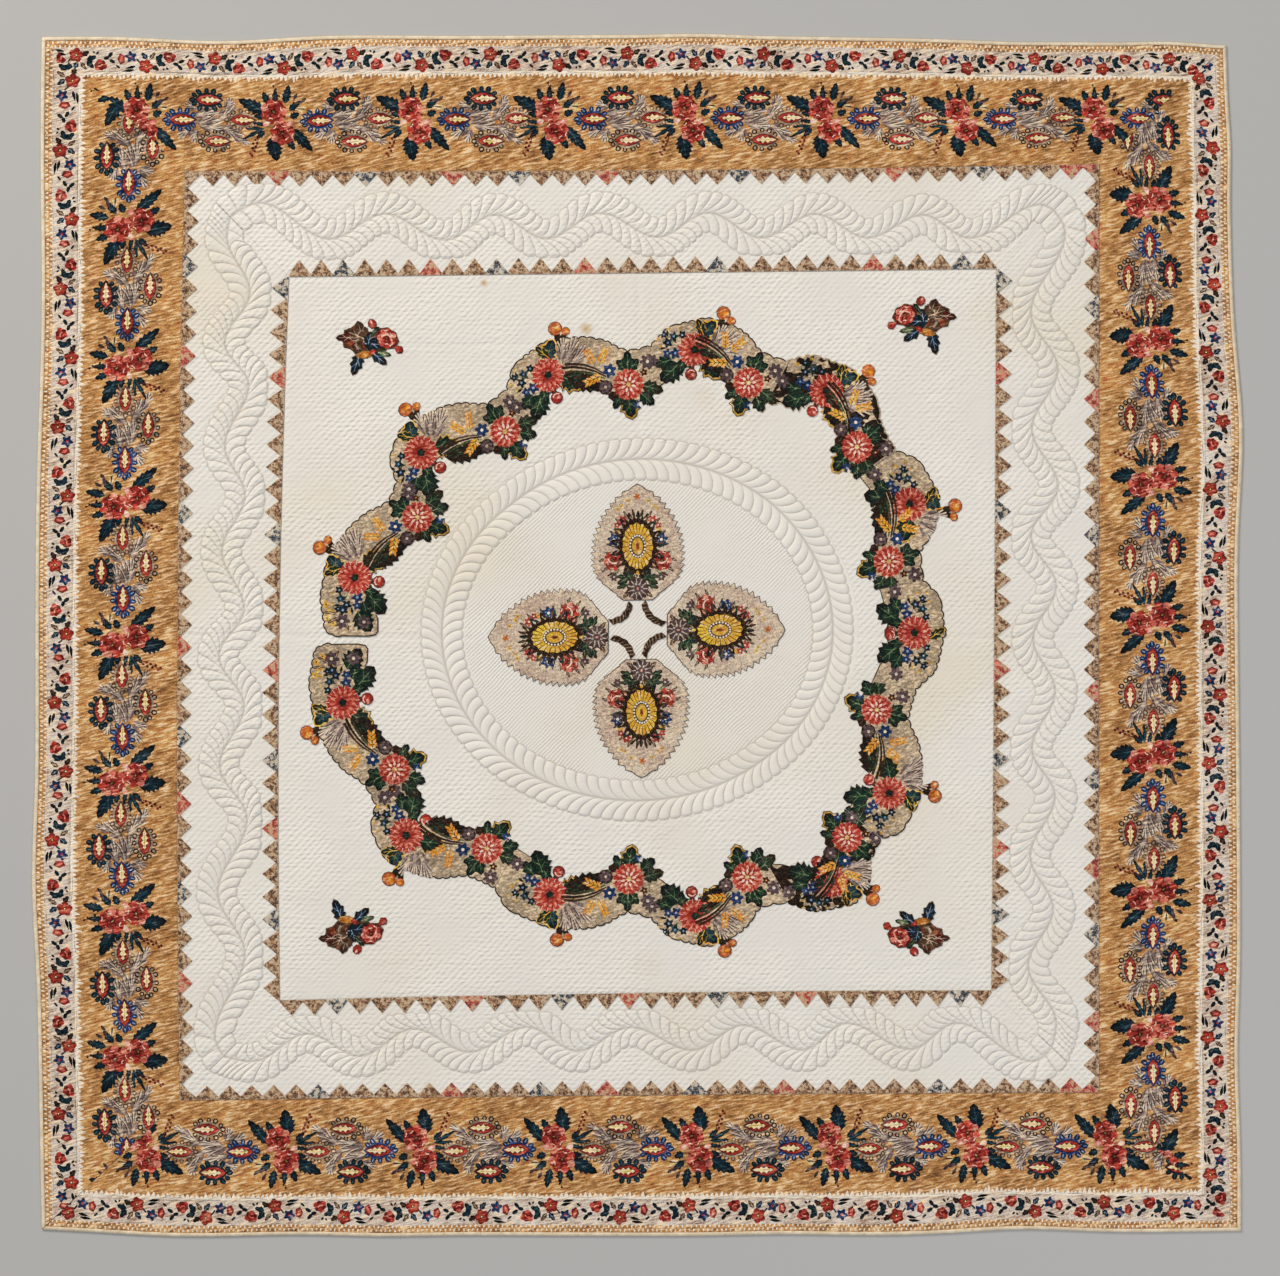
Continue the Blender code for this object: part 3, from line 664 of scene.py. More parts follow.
# %% Ground height between the feathers
def ground_height(points, seams=()):
    """Height of the flat cloth: puckers, creases and the dip along a seam. seams are half sides."""
    x, y = points[:, 0], points[:, 1]
    height = GROUND - 0.0001 + puckers(x, y, 0.0009) - crease_depth(x, y)
    out = np.maximum(abs(x), abs(y))
    for half in seams:
        height = height - 0.0011 * np.exp(-(((out - half) / 0.0035) ** 2))
    return np.clip(height, 0.0012, 0.0048)


def crease_points(low, high):
    """Rows of points along and beside each crease in a box, so that the mesh can follow it."""
    rows = []
    for (x0, y0), (x1, y1), half_width, _ in CREASES:
        length = math.hypot(x1 - x0, y1 - y0)
        across = np.array([-(y1 - y0), x1 - x0]) / length
        shares = np.linspace(0, 1, max(2, int(length / 0.011)))[:, None]
        middle = np.array([(x0, y0)]) + shares * np.array([(x1 - x0, y1 - y0)])
        rows += [middle + across * offset * half_width / 1000 for offset in (-2.2, -1.1, 0, 1.1, 2.2)]
    rows = np.vstack(rows)
    return rows[((rows > low) & (rows < high)).all(axis=1)]


def field(outline, spacing, holes=()):
    """A flat stretch of ground with points along its creases. Returns points and triangles."""
    outline = tidy(np.asarray(outline))
    holes = [tidy(np.asarray(hole)) for hole in holes]
    extra = crease_points(outline.min(axis=0), outline.max(axis=0))
    keep = inside(extra, outline) & clear_of(extra, outline, 0.003)
    for hole in holes:
        keep &= ~inside(extra, hole) & clear_of(extra, hole, 0.003)
    points, triangles, _ = filled(outline, spacing, holes=holes, extra=extra[keep])
    return points, triangles


def joined(parts):
    """Several surfaces of points, triangles and the painted shade of their stitches as one list."""
    points, triangles, marks, start = [], [], [], 0
    for part_points, part_triangles, part_marks in parts:
        points.append(part_points)
        triangles.append(part_triangles + start)
        marks.append(part_marks[part_triangles])
        start += len(part_points)
    return np.vstack(points), np.vstack(triangles), np.vstack(marks)


print("a lobe takes", 2 * len(LOBE_COLUMNS) * (len(LOBE_ROWS) + 1), "triangles")

# %% The centre panel
# way from the stem, lobes
RING_ROWS = ((1, 116), (-1, 98))
RING_REACH = 0.051
RING_LEAN = 0.033  # a tip lies this far clockwise of its root
RING_MEAN = 0.457  # about the mean of the oval's two radii


def ring_place(turn, away):
    """A place on the ring's oval: a turn counterclockwise from the right, and a distance outside the stem."""
    x = RING_MIDDLE[0] + (RING_WIDE + away) * np.cos(-turn)
    y = RING_MIDDLE[1] + (RING_HIGH + away) * np.sin(-turn)
    return np.column_stack([x, y])


def stem_part(points, triangles):
    """The narrow stem between two rows of lobes, held down by its stitches and painted nearly all over with groove
    shade.
    """
    height = GROOVE - 0.8 * crease_depth(points[:, 0], points[:, 1])
    return np.column_stack([points, height]), triangles, np.full(len(points), 0.9)


def ground_part(points, triangles, seams=()):
    return np.column_stack([points, ground_height(points, seams)]), triangles, np.zeros(len(points))


def square_edge(half, spacing):
    share = np.linspace(-1, 1, 2 * round(half / spacing) + 1)[:-1]
    return np.array([side_point(side, s * half, half) for side in range(4) for s in share])


def make_centre():
    parts, roots, tips = [], [], []
    for way, lobes in RING_ROWS:
        across = np.tile(LOBE_COLUMNS, lobes)
        turn = (np.repeat(np.arange(lobes), len(LOBE_COLUMNS)) + across) * 2 * np.pi / lobes
        lean = RING_LEAN / RING_MEAN
        part, root, tip = feather_row(way, turn, across, ring_place, lambda at: RING_REACH, lean, closed=True)
        parts.append(part)
        roots.append(root)
        tips.append(tip)
    parts.append(stem_part(*field(roots[0], 0.02, holes=[roots[1]])))
    parts.append(ground_part(*field(tips[1], 0.011)))
    edge = square_edge(CENTRE_HALF - SEAM / 2, 0.012)
    parts.append(ground_part(*field(edge, 0.0125, holes=[tips[0]]), seams=(CENTRE_HALF,)))
    points, triangles, marks = joined(parts)
    make_sheet("centre_ground", points, triangles, [WHITE_COTTON, PLAIN_COTTON], marks=marks)


make_centre()

# %% [markdown]
# ## The feather vine of the white border
# The vine swings from side to side along each strip and turns the corners on a crest, so the pattern runs
# round the quilt without a break. Its feathers all grow clockwise. Each strip is cut to a mitre at both ends,
# where the quilting lies exactly on the diagonal.

# %% Run of the vine
VINE_CORNER = 1.040  # where the stem crosses the diagonals
# Turning points of the stem on each side, in mm: place clockwise along the side and distance from the centre,
# crest and trough in turn
VINE_TURNS = (
    (
        (-964, 1075), (-788, 987), (-646, 1048), (-495, 983), (-367, 1044), (-236, 984), (-101, 1047),
        (46, 986), (172, 1045), (308, 981), (441, 1039), (575, 978), (712, 1033), (831, 974), (1005, 1054),
    ),
    (
        (-986, 1068), (-792, 984), (-656, 1051), (-510, 987), (-370, 1052), (-247, 986), (-124, 1048),
        (7, 992), (137, 1046), (282, 990), (400, 1046), (552, 987), (686, 1042), (832, 983), (977, 1050),
    ),
    (
        (-990, 1074), (-803, 978), (-681, 1043), (-523, 977), (-410, 1043), (-260, 980), (-133, 1041),
        (25, 982), (156, 1040), (284, 978), (426, 1039), (568, 978), (701, 1045), (832, 986), (968, 1054),
    ),
    (
        (-991, 1061), (-784, 983), (-637, 1050), (-453, 975), (-322, 1044), (-173, 983), (-50, 1047),
        (67, 985), (211, 1042), (348, 987), (472, 1039), (622, 984), (728, 1045), (853, 988), (994, 1047),
    ),
)
VINE_REACH = 0.054
VINE_INNER_LIMIT = 0.938
VINE_OUTER_LIMIT = 1.122
VINE_PITCH = 0.0255  # width of a lobe two thirds of the way to its tip
VINE_LEAN = 0.036
VINE_MIDDLE = 1.014  # distance of the stem's middle line from the quilt's centre
VINE_SWING = 0.034  # how far it swings to either side of that


def ease(value):
    value = np.clip(value, 0, 1)
    return value * value * (3 - 2 * value)


def stem_line(side):
    """The stem of one side as close points, clockwise, from mitre to mitre."""
    corner = VINE_CORNER * 1000
    turns = [(-corner, corner), *VINE_TURNS[side], (corner, corner)]
    line = []
    for number, ((x0, out0), (x1, out1)) in enumerate(zip(turns, turns[1:])):
        mix = np.linspace(0, 1, 300, endpoint=False)
        swing = (1 - np.cos(mix * np.pi)) / 2
        if number == 0:
            swing = np.sin(mix * np.pi / 2)
        elif number == len(turns) - 2:
            swing = 1 - np.cos(mix * np.pi / 2)
        line.append(np.column_stack([x0 + (x1 - x0) * mix, out0 + (out1 - out0) * swing]))
    line = np.vstack([*line, [(corner, corner)]]) / 1000
    line[:, 0] *= (VINE_CORNER - SEAM / 2) / VINE_CORNER
    return line


def bend_at(out):
    """From -1 in the vine's troughs to 1 on its crests."""
    return np.clip((out - VINE_MIDDLE) / VINE_SWING, -1, 1)


print("points of the first side's stem:", len(stem_line(0)))

# %% Stems of the vine
class Stem:
    """The stem of a side, with its length, direction and bend at every point."""

    def __init__(self, side):
        self.line = stem_line(side)
        self.run = np.concatenate([[0], np.cumsum(np.hypot(*np.diff(self.line, axis=0).T))])
        steps = np.gradient(self.line, axis=0)
        slope = np.arctan2(steps[:, 1], steps[:, 0])
        kernel = np.hanning(161) / np.hanning(161).sum()
        self.slope = np.convolve(np.pad(slope, 80, mode="edge"), kernel, mode="valid")
        self.length = self.run[-1]

    def at(self, run):
        return np.column_stack([np.interp(run, self.run, self.line[:, axis]) for axis in (0, 1)])

    def place(self, run, away):
        """A place beside the stem. away is counted outwards."""
        root = self.at(run)
        bend = np.sign(away) * bend_at(root[:, 1])
        # lobes stand nearly square to the stem on the outside of a bend, and less so on its inside
        turn = (0.70 + 0.12 * bend) * np.interp(run, self.run, self.slope)
        start, end = ease(1 - run / 0.09), ease(1 - (self.length - run) / 0.09)
        turn = turn * (1 - start) * (1 - end) + np.pi / 4 * (start - end)
        place = root + away[:, None] * np.column_stack([-np.sin(turn), np.cos(turn)])
        at_end = (run <= 1e-9) | (run >= self.length - 1e-9)
        mitre = np.sign(place[:, 0]) * (place[:, 1] - SEAM / 2)
        place[:, 0] = np.where(at_end, mitre, place[:, 0])
        return place

    def reach(self, way):
        def reach_at(run):
            out = self.at(run)[:, 1]
            limit = out - VINE_INNER_LIMIT if way < 0 else VINE_OUTER_LIMIT - out
            near_mitre = ease(1 - np.minimum(run, self.length - run) / 0.08)
            limit = limit + 0.02 * near_mitre
            return np.minimum(VINE_REACH * (0.94 + 0.06 * way * bend_at(out)), limit)

        return reach_at

    def columns(self, way):
        """Runs of the columns of one row of lobes, which are equally wide at two thirds of their length."""
        tips = self.place(self.run, way * 0.67 * self.reach(way)(self.run))
        width = np.concatenate([[0], np.cumsum(np.hypot(*np.diff(tips, axis=0).T))])
        lobes = round(width[-1] / VINE_PITCH)
        across = np.append(np.tile(LOBE_COLUMNS, lobes), 0.0)
        place = np.append((np.arange(lobes)[:, None] + LOBE_COLUMNS[None, :]).reshape(-1), lobes)
        return np.interp(place / lobes * width[-1], width, self.run), across


STEMS_OF_SIDES = [Stem(side) for side in range(4)]
print("lobes in the outer and inner row of each strip:",
      [[len(stem.columns(way)[0]) // len(LOBE_COLUMNS) for way in (1, -1)] for stem in STEMS_OF_SIDES])

# %% Feather strips
def turned_to_side(points, side):
    """Strip coordinates, along and out, as x and y."""
    return np.column_stack(side_point(side, points[:, 0], points[:, 1]))


def straight(start, end, spacing):
    """Points from start up to, but not including, end."""
    start, end = np.asarray(start), np.asarray(end)
    count = max(1, round(math.dist(start, end) / spacing))
    return start + np.linspace(0, 1, count + 1)[:-1, None] * (end - start)


def make_feather_border(side):
    parts, roots = [], []
    stem = STEMS_OF_SIDES[side]
    for way, half in ((1, CHINTZ_INNER - SEAM / 2), (-1, CENTRE_HALF + SEAM / 2)):
        run, across = stem.columns(way)
        lean = VINE_LEAN * ease(run / 0.08) * ease((stem.length - run) / 0.10)
        place = lambda at, away: turned_to_side(stem.place(at, away), side)
        part, root, tip = feather_row(way, run, across, place, stem.reach(way), lean)
        parts.append(part)
        roots.append(root)
        corners = [side_point(side, end * (half - SEAM / 2), half) for end in (1, -1)]
        outline = np.vstack([
            tip[:-1],
            straight(tip[-1], corners[0], 0.008),
            straight(corners[0], corners[1], 0.012),
            straight(corners[1], tip[0], 0.008),
        ])
        parts.append(ground_part(*field(outline, 0.012), seams=(CENTRE_HALF, CHINTZ_INNER)))
    parts.append(stem_part(*field(np.vstack([roots[0], roots[1][::-1]]), 0.02)))
    points, triangles, marks = joined(parts)
    make_sheet("feather_border_" + SIDES[side], points, triangles, [WHITE_COTTON, PLAIN_COTTON],
               marks=marks)


for side in range(4):
    make_feather_border(side)

# %% [markdown]
# ## Printing with cut shapes
# The flowers of the chintz were block printed: a dark outline first, then one flat colour after another. Here
# a motif is a list of patches, each a closed outline with a colour near its heart and one towards its rim.
# The motifs are ordinary roses, leaves and scrolls, drawn by formulas in plain sizes and repeated, as a
# printer repeats a block. All sizes are in millimetres, and each motif grows from its own middle.

# %% Inks
INKS = {
    "tan": "#C8955A", "navy": "#0F2835", "night": "#060E14", "teal": "#224B56", "green": "#16382B",
    "moss": "#5B7A50", "coral": "#C04034", "brick": "#8E251F", "wine": "#571113", "pink": "#E68F7A",
    "blush": "#F7D3C3", "cream": "#F3E6BC", "white": "#F4ECDF", "blue": "#1D3F78", "sky": "#7FA0C4",
    "umber": "#2C1C13", "brown": "#634530", "rust": "#BB5530", "orange": "#DE8A2C", "taupe": "#A8917F",
    "dove": "#D9CCC0", "mauve": "#66535A", "yellow": "#EFC23C", "gold": "#C79A35", "sand": "#CDB89F",
    "putty": "#BDA88C", "shell": "#CFBDA9", "line": "#21160F",
}
INKS = {name: np.array(colour(code)) for name, code in INKS.items()}


def patch(outline, near, far=None, focus=(0.0, 0.0), reach=None):
    """One printed shape. Its colour runs from near, at the focus, to far at the reach."""
    outline, focus = np.asarray(outline, float), np.asarray(focus, float)
    if reach is None:
        reach = np.hypot(*(outline - focus).T).max()
    return outline, INKS[near], INKS[far or near], focus, reach


def placed(patches, at=(0.0, 0.0), turn=0.0, size=1.0, mirror=False):
    """A motif moved to a place, turned by some degrees, scaled, and mirrored if wanted."""
    c, s = math.cos(math.radians(turn)) * size, math.sin(math.radians(turn)) * size
    spin = np.array([[c, s], [-s, c]])
    if mirror:
        spin = np.array([[1, 0], [0, -1]]) @ spin
    at = np.asarray(at, float)
    return [(o @ spin + at, near, far, f @ spin + at, reach * size) for o, near, far, f, reach in patches]


def spot(at, turn, outline, *inks):
    """One printed shape, moved to a place and turned."""
    return placed([patch(outline, *inks)], at, turn)


def around(patches, turn, away, lean=0.0):
    """A motif at some degrees and distance from the middle, turned with its place."""
    place = math.radians(turn)
    return placed(patches, (away * math.cos(place), away * math.sin(place)), turn + lean)


def ringed(patches, count, reach, start=0.0):
    """A motif repeated round a circle, each one pointing outwards."""
    return [item for step in range(count) for item in around(patches, start + step * 360 / count, reach)]


def span(base, tip):
    """Length, and direction in degrees, from one point to another."""
    run = np.subtract(tip, base)
    return float(np.hypot(*run)), math.degrees(math.atan2(run[1], run[0]))


def between(base, tip, motif, *kind):
    """A motif that grows from its base along x, laid from one point to another."""
    length, turn = span(base, tip)
    return placed(motif(length, *kind), base, turn)


print(len(INKS), "inks")

# %% Outlines that motifs are made of
def oval(length, width, count=10):
    turn = np.arange(count) * 2 * np.pi / count
    return np.column_stack([length / 2 * np.cos(turn), width / 2 * np.sin(turn)])


def petal(length, width, count=3):
    """A petal from the origin along x, widest beyond its middle."""
    u = np.linspace(0, 1, count + 1)[1:]
    half = width / 2 * np.sin(np.pi * np.minimum(u**1.6, 0.93)) ** 0.7
    x = length * u
    return np.vstack([[(0, 0)], np.column_stack([x, half]), np.column_stack([x, -half])[::-1]])


def scalloped(radius, bumps, depth, each=2):
    """A disc with a scalloped rim."""
    turn = np.arange(bumps * each) * 2 * np.pi / (bumps * each)
    wave = abs(np.sin(turn * bumps / 2))
    reach = radius * (1 - depth + depth * wave)
    return np.column_stack([reach * np.cos(turn), reach * np.sin(turn)])


def leaf_outline(length, width, teeth=4):
    """A toothed leaf from the origin along x."""
    edge = []
    for tooth in range(teeth):
        for share, swell in ((tooth + 0.15, 0.74), (tooth + 0.9, 1.1)):
            u = 0.06 + 0.84 * share / teeth
            edge.append((length * u, width / 2 * swell * math.sin(math.pi * u**0.85) ** 0.7))
    edge = np.array(edge)
    upper = np.vstack([[(0, 0)], edge, [(length, 0)]])
    lower = np.column_stack([edge[:, 0] * 0.97, -edge[:, 1]])[::-1]
    return np.vstack([upper, lower])


def stroke(points, start, end=0.4):
    """A brush stroke along points, with its width at the start and at the end."""
    points = np.asarray(points, float)
    steps = np.gradient(points, axis=0)
    steps /= np.hypot(*steps.T)[:, None]
    normal = np.column_stack([-steps[:, 1], steps[:, 0]])
    half = np.linspace(start, end, len(points))[:, None] / 2
    return np.vstack([points + normal * half, (points - normal * half)[::-1]])


def arc(start, end, bulge, count=4):
    """Points from start to end, bulging to the left."""
    start, end = np.asarray(start, float), np.asarray(end, float)
    u = np.linspace(0, 1, count)[:, None]
    run = end - start
    side = np.array([-run[1], run[0]]) / max(np.hypot(*run), 1e-9)
    return start + u * run + 4 * bulge * u * (1 - u) * side


print("a leaf's outline has", len(leaf_outline(30, 12)), "points")

# %% Leaves and berries
def leaf(length, width, teeth=4, near="navy", far="night", vein="teal"):
    """A dark leaf with a paler vein and side veins."""
    made = [patch(leaf_outline(length, width, teeth), near, far, (length * 0.4, 0), length * 0.55),
            patch(stroke([(length * 0.05, 0), (length * 0.85, 0)], 0.05 * length, 0.5), vein)]
    for share, way in ((0.3, 1), (0.45, -1)):
        ends = [(length * share, 0), (length * (share + 0.25), way * width * 0.3)]
        made.append(patch(stroke(ends, 0.04 * length, 0.4), vein))
    return made


def leaf_between(base, tip, width, *kind):
    """A leaf from one point to another. kind is its teeth and three inks."""
    return between(base, tip, leaf, width, *kind)


def berries(points, size, near="coral", far="wine"):
    return [item for point in points for item in spot(point, 0, oval(size, size, 5), near, far)]


print("a leaf has", len(leaf(30, 12)), "patches")

# %% Roses and other flowers
BLOOM_PETALS = (
    ("brick", "coral"), ("coral", "pink"), ("wine", "coral"), ("coral", "coral"), ("brick", "pink"),
    ("coral", "coral"), ("wine", "coral"),
)
BLOOM_STROKES = (  # degrees, place and ink
    (70, 0.62, "blush"), (190, 0.66, "pink"), (300, 0.58, "blush"), (20, 0.5, "pink"), (130, 0.78, "blush"),
    (245, 0.8, "pink"), (335, 0.84, "blush"), (160, 0.42, "wine"), (95, 0.86, "wine"), (280, 0.40, "wine"),
)


def bloom(radius):
    """An open rose: deep red in its folds, coral petals with paler rims and a dark slit of a heart."""
    made = [patch(scalloped(radius, 8, 0.14), "wine", "brick", (0, 0), radius)]
    for step, inks in enumerate(BLOOM_PETALS):
        own = [patch(petal(0.66 * radius, 0.62 * radius), *inks, (0, 0), 0.66 * radius)]
        made += around(own, step * 360 / 7, 0.33 * radius)
    own = [patch(petal(0.40 * radius, 0.34 * radius), "brick", "coral", (0, 0), 0.4 * radius)]
    made += ringed(own, 5, 0.14 * radius, 20)
    line = arc((-0.17 * radius, 0), (0.17 * radius, 0), 0.05 * radius, 3)
    for turn, away, ink in BLOOM_STROKES:
        made += around([patch(stroke(line, 3.0, 1.8), ink)], turn, away * radius, 90)
    return made + [patch(oval(0.46 * radius, 0.24 * radius, 6), "umber", "wine"),
                   patch(oval(0.30 * radius, 0.10 * radius, 4), "gold", "moss")]


def rose(length, width):
    """A small rose seen from the side, with a few curved petals."""
    made = [patch(scalloped(length / 2, 6, 0.12) * (1, width / length), "brick", "wine", (0, 0), length / 2)]
    for x, y, turn, size in ((-0.10, -0.05, 200, 0.42), (0.08, -0.1, -30, 0.42), (0.0, 0.10, 75, 0.40)):
        made += spot((x * length, y * width), turn, petal(length * size, width * 0.5), "brick", "coral",
                     (0, 0), length * 0.42)
    lower = arc((-0.22 * length, 0), (0.2 * length, 0.02 * width), -0.1 * width, 3)
    upper = arc((-0.1 * length, 0.2 * width), (0.2 * length, 0.16 * width), 2, 3)
    return made + [patch(stroke(lower, 3.4, 2.2), "pink"), patch(stroke(upper, 2.2, 1.4), "coral")]


def floret(radius, near="sky", far="blue", heart="cream", petals=5):
    """A small flower of a few petals."""
    own = [patch(petal(radius, radius * 0.8, 2), near, far, (radius * 0.6, 0), radius * 0.7)]
    return ringed(own, petals, 0, 18) + [patch(oval(radius * 0.5, radius * 0.5, 5), heart)]


def rosette(radius, rings, heart, heart_size):
    """A double flower with rings of pointed petals. rings are petals, place, length and two inks."""
    made = [patch(scalloped(radius, 13, 0.12), "brick", "coral", (0, 0), radius)]
    for count, place, length, near, far in rings:
        width = 6.2 * length * radius / count * (0.6 + place)
        own = [patch(petal(length * radius, width, 2), near, far, (0, 0), length * radius)]
        made += ringed(own, count, place * radius, 170 * place)
    return made + [patch(scalloped(heart_size * radius, 5, 0.25), *heart)]


print("a rose has", len(bloom(30)), "patches")

# %% Scrolls, medallions and ears of wheat
OAK_LEAF = np.array([
    (0, 0), (0.1, 0.42), (0.2, 0.2), (0.32, 0.9), (0.45, 0.35), (0.58, 0.8), (0.68, 0.3), (0.8, 0.42), (1, 0),
])


def oak_leaf(length, width):
    """A pale leaf with rounded lobes."""
    edge = OAK_LEAF * (length, width / 2)
    return [patch(np.vstack([edge, (edge * (1, -1))[-2:0:-1]]), "cream"),
            patch(stroke([(0.1 * length, 0), (0.85 * length, 0)], 1.8, 0.6), "gold")]


def medallion(rim, accent, curled):
    """A pointed oval in deep red with a pale leaf in it, and leaflets or open curls round it, 96 by 64 mm."""
    made = []
    u = np.array([0, 0.16, 0.4, 0.62, 0.82, 1.0])
    half = 14.0 * np.sin(np.pi * u**0.9) ** 0.8
    x = -30 + 64 * u
    body = np.vstack([np.column_stack([x, half]), np.column_stack([x, -half])[-2:0:-1]])
    if curled:
        own = [patch(oval(16, 15, 7) + (5, 0), rim), patch(oval(8.5, 7.5, 5) + (5.5, 0), "sand", "taupe")]
    else:
        own = [patch(oval(19, 15, 7) + (5, 0), rim, "night", (3, 0), 13),
               patch(stroke([(2, 0), (11, 0)], 3.4, 1.8), accent)]
    for step in range(11):
        turn = math.radians(34 + 292 * step / 10)
        root = np.array([35 * math.cos(turn) - 2, 21 * math.sin(turn)])
        way = math.degrees(math.atan2(root[1] * 1.5, root[0]))
        made += placed(own, root * 0.94, way + (-10, 10)[step % 2], (0.86, 1.0)[step % 2])
    made += [patch(body * (1.16, 1.5), "sand" if curled else rim, rim, (0, 0), 44),
             patch(body * (1.06, 1.14), "wine", "umber", (0, 0), 40),
             patch(body, "coral", "brick", (-20, 0), 40),
             patch(body * (0.74, 0.62) + (1, 0), "wine", "brick")]
    return made + placed(oak_leaf(50, 20), (-18, 0))


def plume(length, width, strands=4):
    """A grey feathery scroll from the origin along x, made of curved strokes with dark lines between."""
    made = [patch(leaf_outline(length, width, 2), "mauve", "taupe", (0, 0), length)]
    for step in range(strands):
        share = step / (strands - 1) - 0.5
        tip = (length * (1.04 - 0.8 * share**2), width * 1.1 * share)
        line = arc((0, 0), tip, -8 * share - 1.5, 4)
        made.append(patch(stroke(line, 0.10 * width, 4.4), "taupe", "dove", (0, 0), length))
        made.append(patch(stroke((line + (0, 2.4))[1:], 2.4, 1.4), "umber"))
    return made


def wheat(length):
    """An ear of wheat along x."""
    made = [patch(stroke([(0, 0), (length, 0)], 1.6, 0.8), "brown")]
    for step in range(4):
        for way in (1, -1):
            made += spot((length * (0.12 + 0.2 * step), 0), way * (38 - 3 * step),
                         petal(0.34 * length, 0.16 * length, 2), "yellow", "orange")
    return made


print("a medallion has", len(medallion("navy", "teal", False)), "patches")

# %% [markdown]
# ## The chintz border
# Four strips of one furnishing chintz frame the quilt, each cut along the print and mitred at the corners
# wherever its repeat happens to fall. The design is a row of flower heads and pointed medallions on tan, then
# a jagged white line, a narrow stripe of small flowers on grey, and a tan edge with white ticks.

# %% The flower head of the chintz
# leaves: base, tip, width, teeth
HEAD_LEAVES = (
    ((-30, 22), (-101, 58), 36, 5),
    ((-26, 46), (-38, 78), 20, 3),
    ((-8, 48), (-8, 84), 17, 3),
    ((16, 46), (27, 94), 23, 4),
    ((26, 28), (56, 52), 20, 3),
    ((28, 10), (52, 20), 20, 3),
    ((30, -18), (84, -80), 30, 5),
    ((22, -48), (38, -76), 20, 3),
    ((-18, -40), (-8, -106), 42, 5),
    ((-36, 12), (-62, 14), 20, 3),
    ((-34, -10), (-66, -4), 12, 3),
    ((-36, -18), (-92, -50), 12, 3),
    ((-40, -18), (-86, -22), 9, 2),
    ((-36, -26), (-58, -48), 16, 3),
)
HEAD_BERRIES = (
    (-60, -50), (-56, -58), (-66, -60), (-60, -68), (-68, -72), (-63, -80), (-74, -86), (-70, -92),
)


def flower_head():
    """Three roses among dark leaves, about 185 by 200 mm."""
    made = [item for row in HEAD_LEAVES for item in leaf_between(*row)]
    for at, turn in (((38, 44), 20), ((44, 36), -20), ((36, 52), 60), ((52, 44), 40)):
        made += spot(at, turn, petal(22, 9), "mauve", "umber")
    for at, turn in (((44, 34), 8), ((44, 30), -14)):
        made += spot(at, turn, petal(28, 7), "cream", "gold")
    made.append(patch(stroke(arc((-50, -30), (-72, -88), 6, 3), 2.4, 1.4), "wine"))
    made += berries(HEAD_BERRIES, 8)
    made.append(patch(stroke([(-4, 60), (-12, 92)], 2.2, 1.2), "umber"))
    made += berries(((-12, 92), (-6, 84), (2, 66)), 6, "umber", "night")
    made += placed(bloom(34), (-13, 25), -50) + placed(bloom(32), (8, -32), 10)
    for at, turn, near, far in (((-21, -3), 200, "white", "pink"), ((2, -8), 60, "coral", "pink"),
                                ((18, -10), 20, "blush", "coral"), ((-8, -2), 100, "coral", "brick")):
        made += spot(at, turn, petal(20, 15), near, far, (8, 0), 14)
    return made


print("flower head:", len(flower_head()), "patches")

# %% Medallions among plumes
PLUMES = (  # base, tip, width
    ((-40, -20), (-82, -42), 26), ((-30, 28), (-62, 40), 22), ((-40, 10), (20, 26), 34),
    ((-36, -8), (24, -2), 30), ((-30, -14), (36, -22), 30), ((20, 0), (64, 36), 34), ((30, -16), (80, -44), 36),
    ((38, 30), (56, 58), 22), ((-34, -24), (-44, -58), 24), ((56, -40), (96, -60), 20),
)


def medallions():
    """Four pointed medallions among grey plumes, about 240 by 175 mm."""
    made = [item for base, tip, width in PLUMES for item in between(base, tip, plume, width)]
    made += placed(medallion("navy", "teal", False), (-4, 53))
    made += placed(medallion("blue", "sky", False), (-72, 0))
    made += placed(medallion("brown", "taupe", True), (80, 2), 0, 0.96)
    return made + placed(medallion("umber", "taupe", True), (14, -55))


print("medallions:", len(medallions()), "patches")

# %% The stripe of small flowers
REPEAT = 345.0  # length of the print's repeat, in mm
HEAD_LINE = 132.0  # middle of the flower heads, outwards from the inner seam
STRIPE_EDGE = 317.0  # outer edge of the grey stripe
FLOWER_LINE = 283.0  # middle of its flowers


STRIPE_LEAVES = (  # base, tip, width, teeth and inks
    ((16, 12), (32, 24), 15, 2, "umber", "night", "brown"),
    ((4, -4), (-10, -22), 15, 2, "navy", "night", "sky"),
    ((10, -4), (24, -24), 12, 2, "brown", "umber", "sand"),
    ((26, 2), (50, 10), 17, 2),
    ((26, 0), (42, -20), 17, 2),
    ((-14, 6), (-24, -6), 7, 1, "umber"),
)
STRIPE_LEAFLETS = (  # base, tip, width
    ((68, 4), (82, 8), 10), ((80, 8), (90, 21), 10), ((82, 2), (96, -6), 10), ((50, 16), (56, 22), 6),
    ((46, 18), (42, 24), 5), ((98, -12), (108, -20), 6),
)


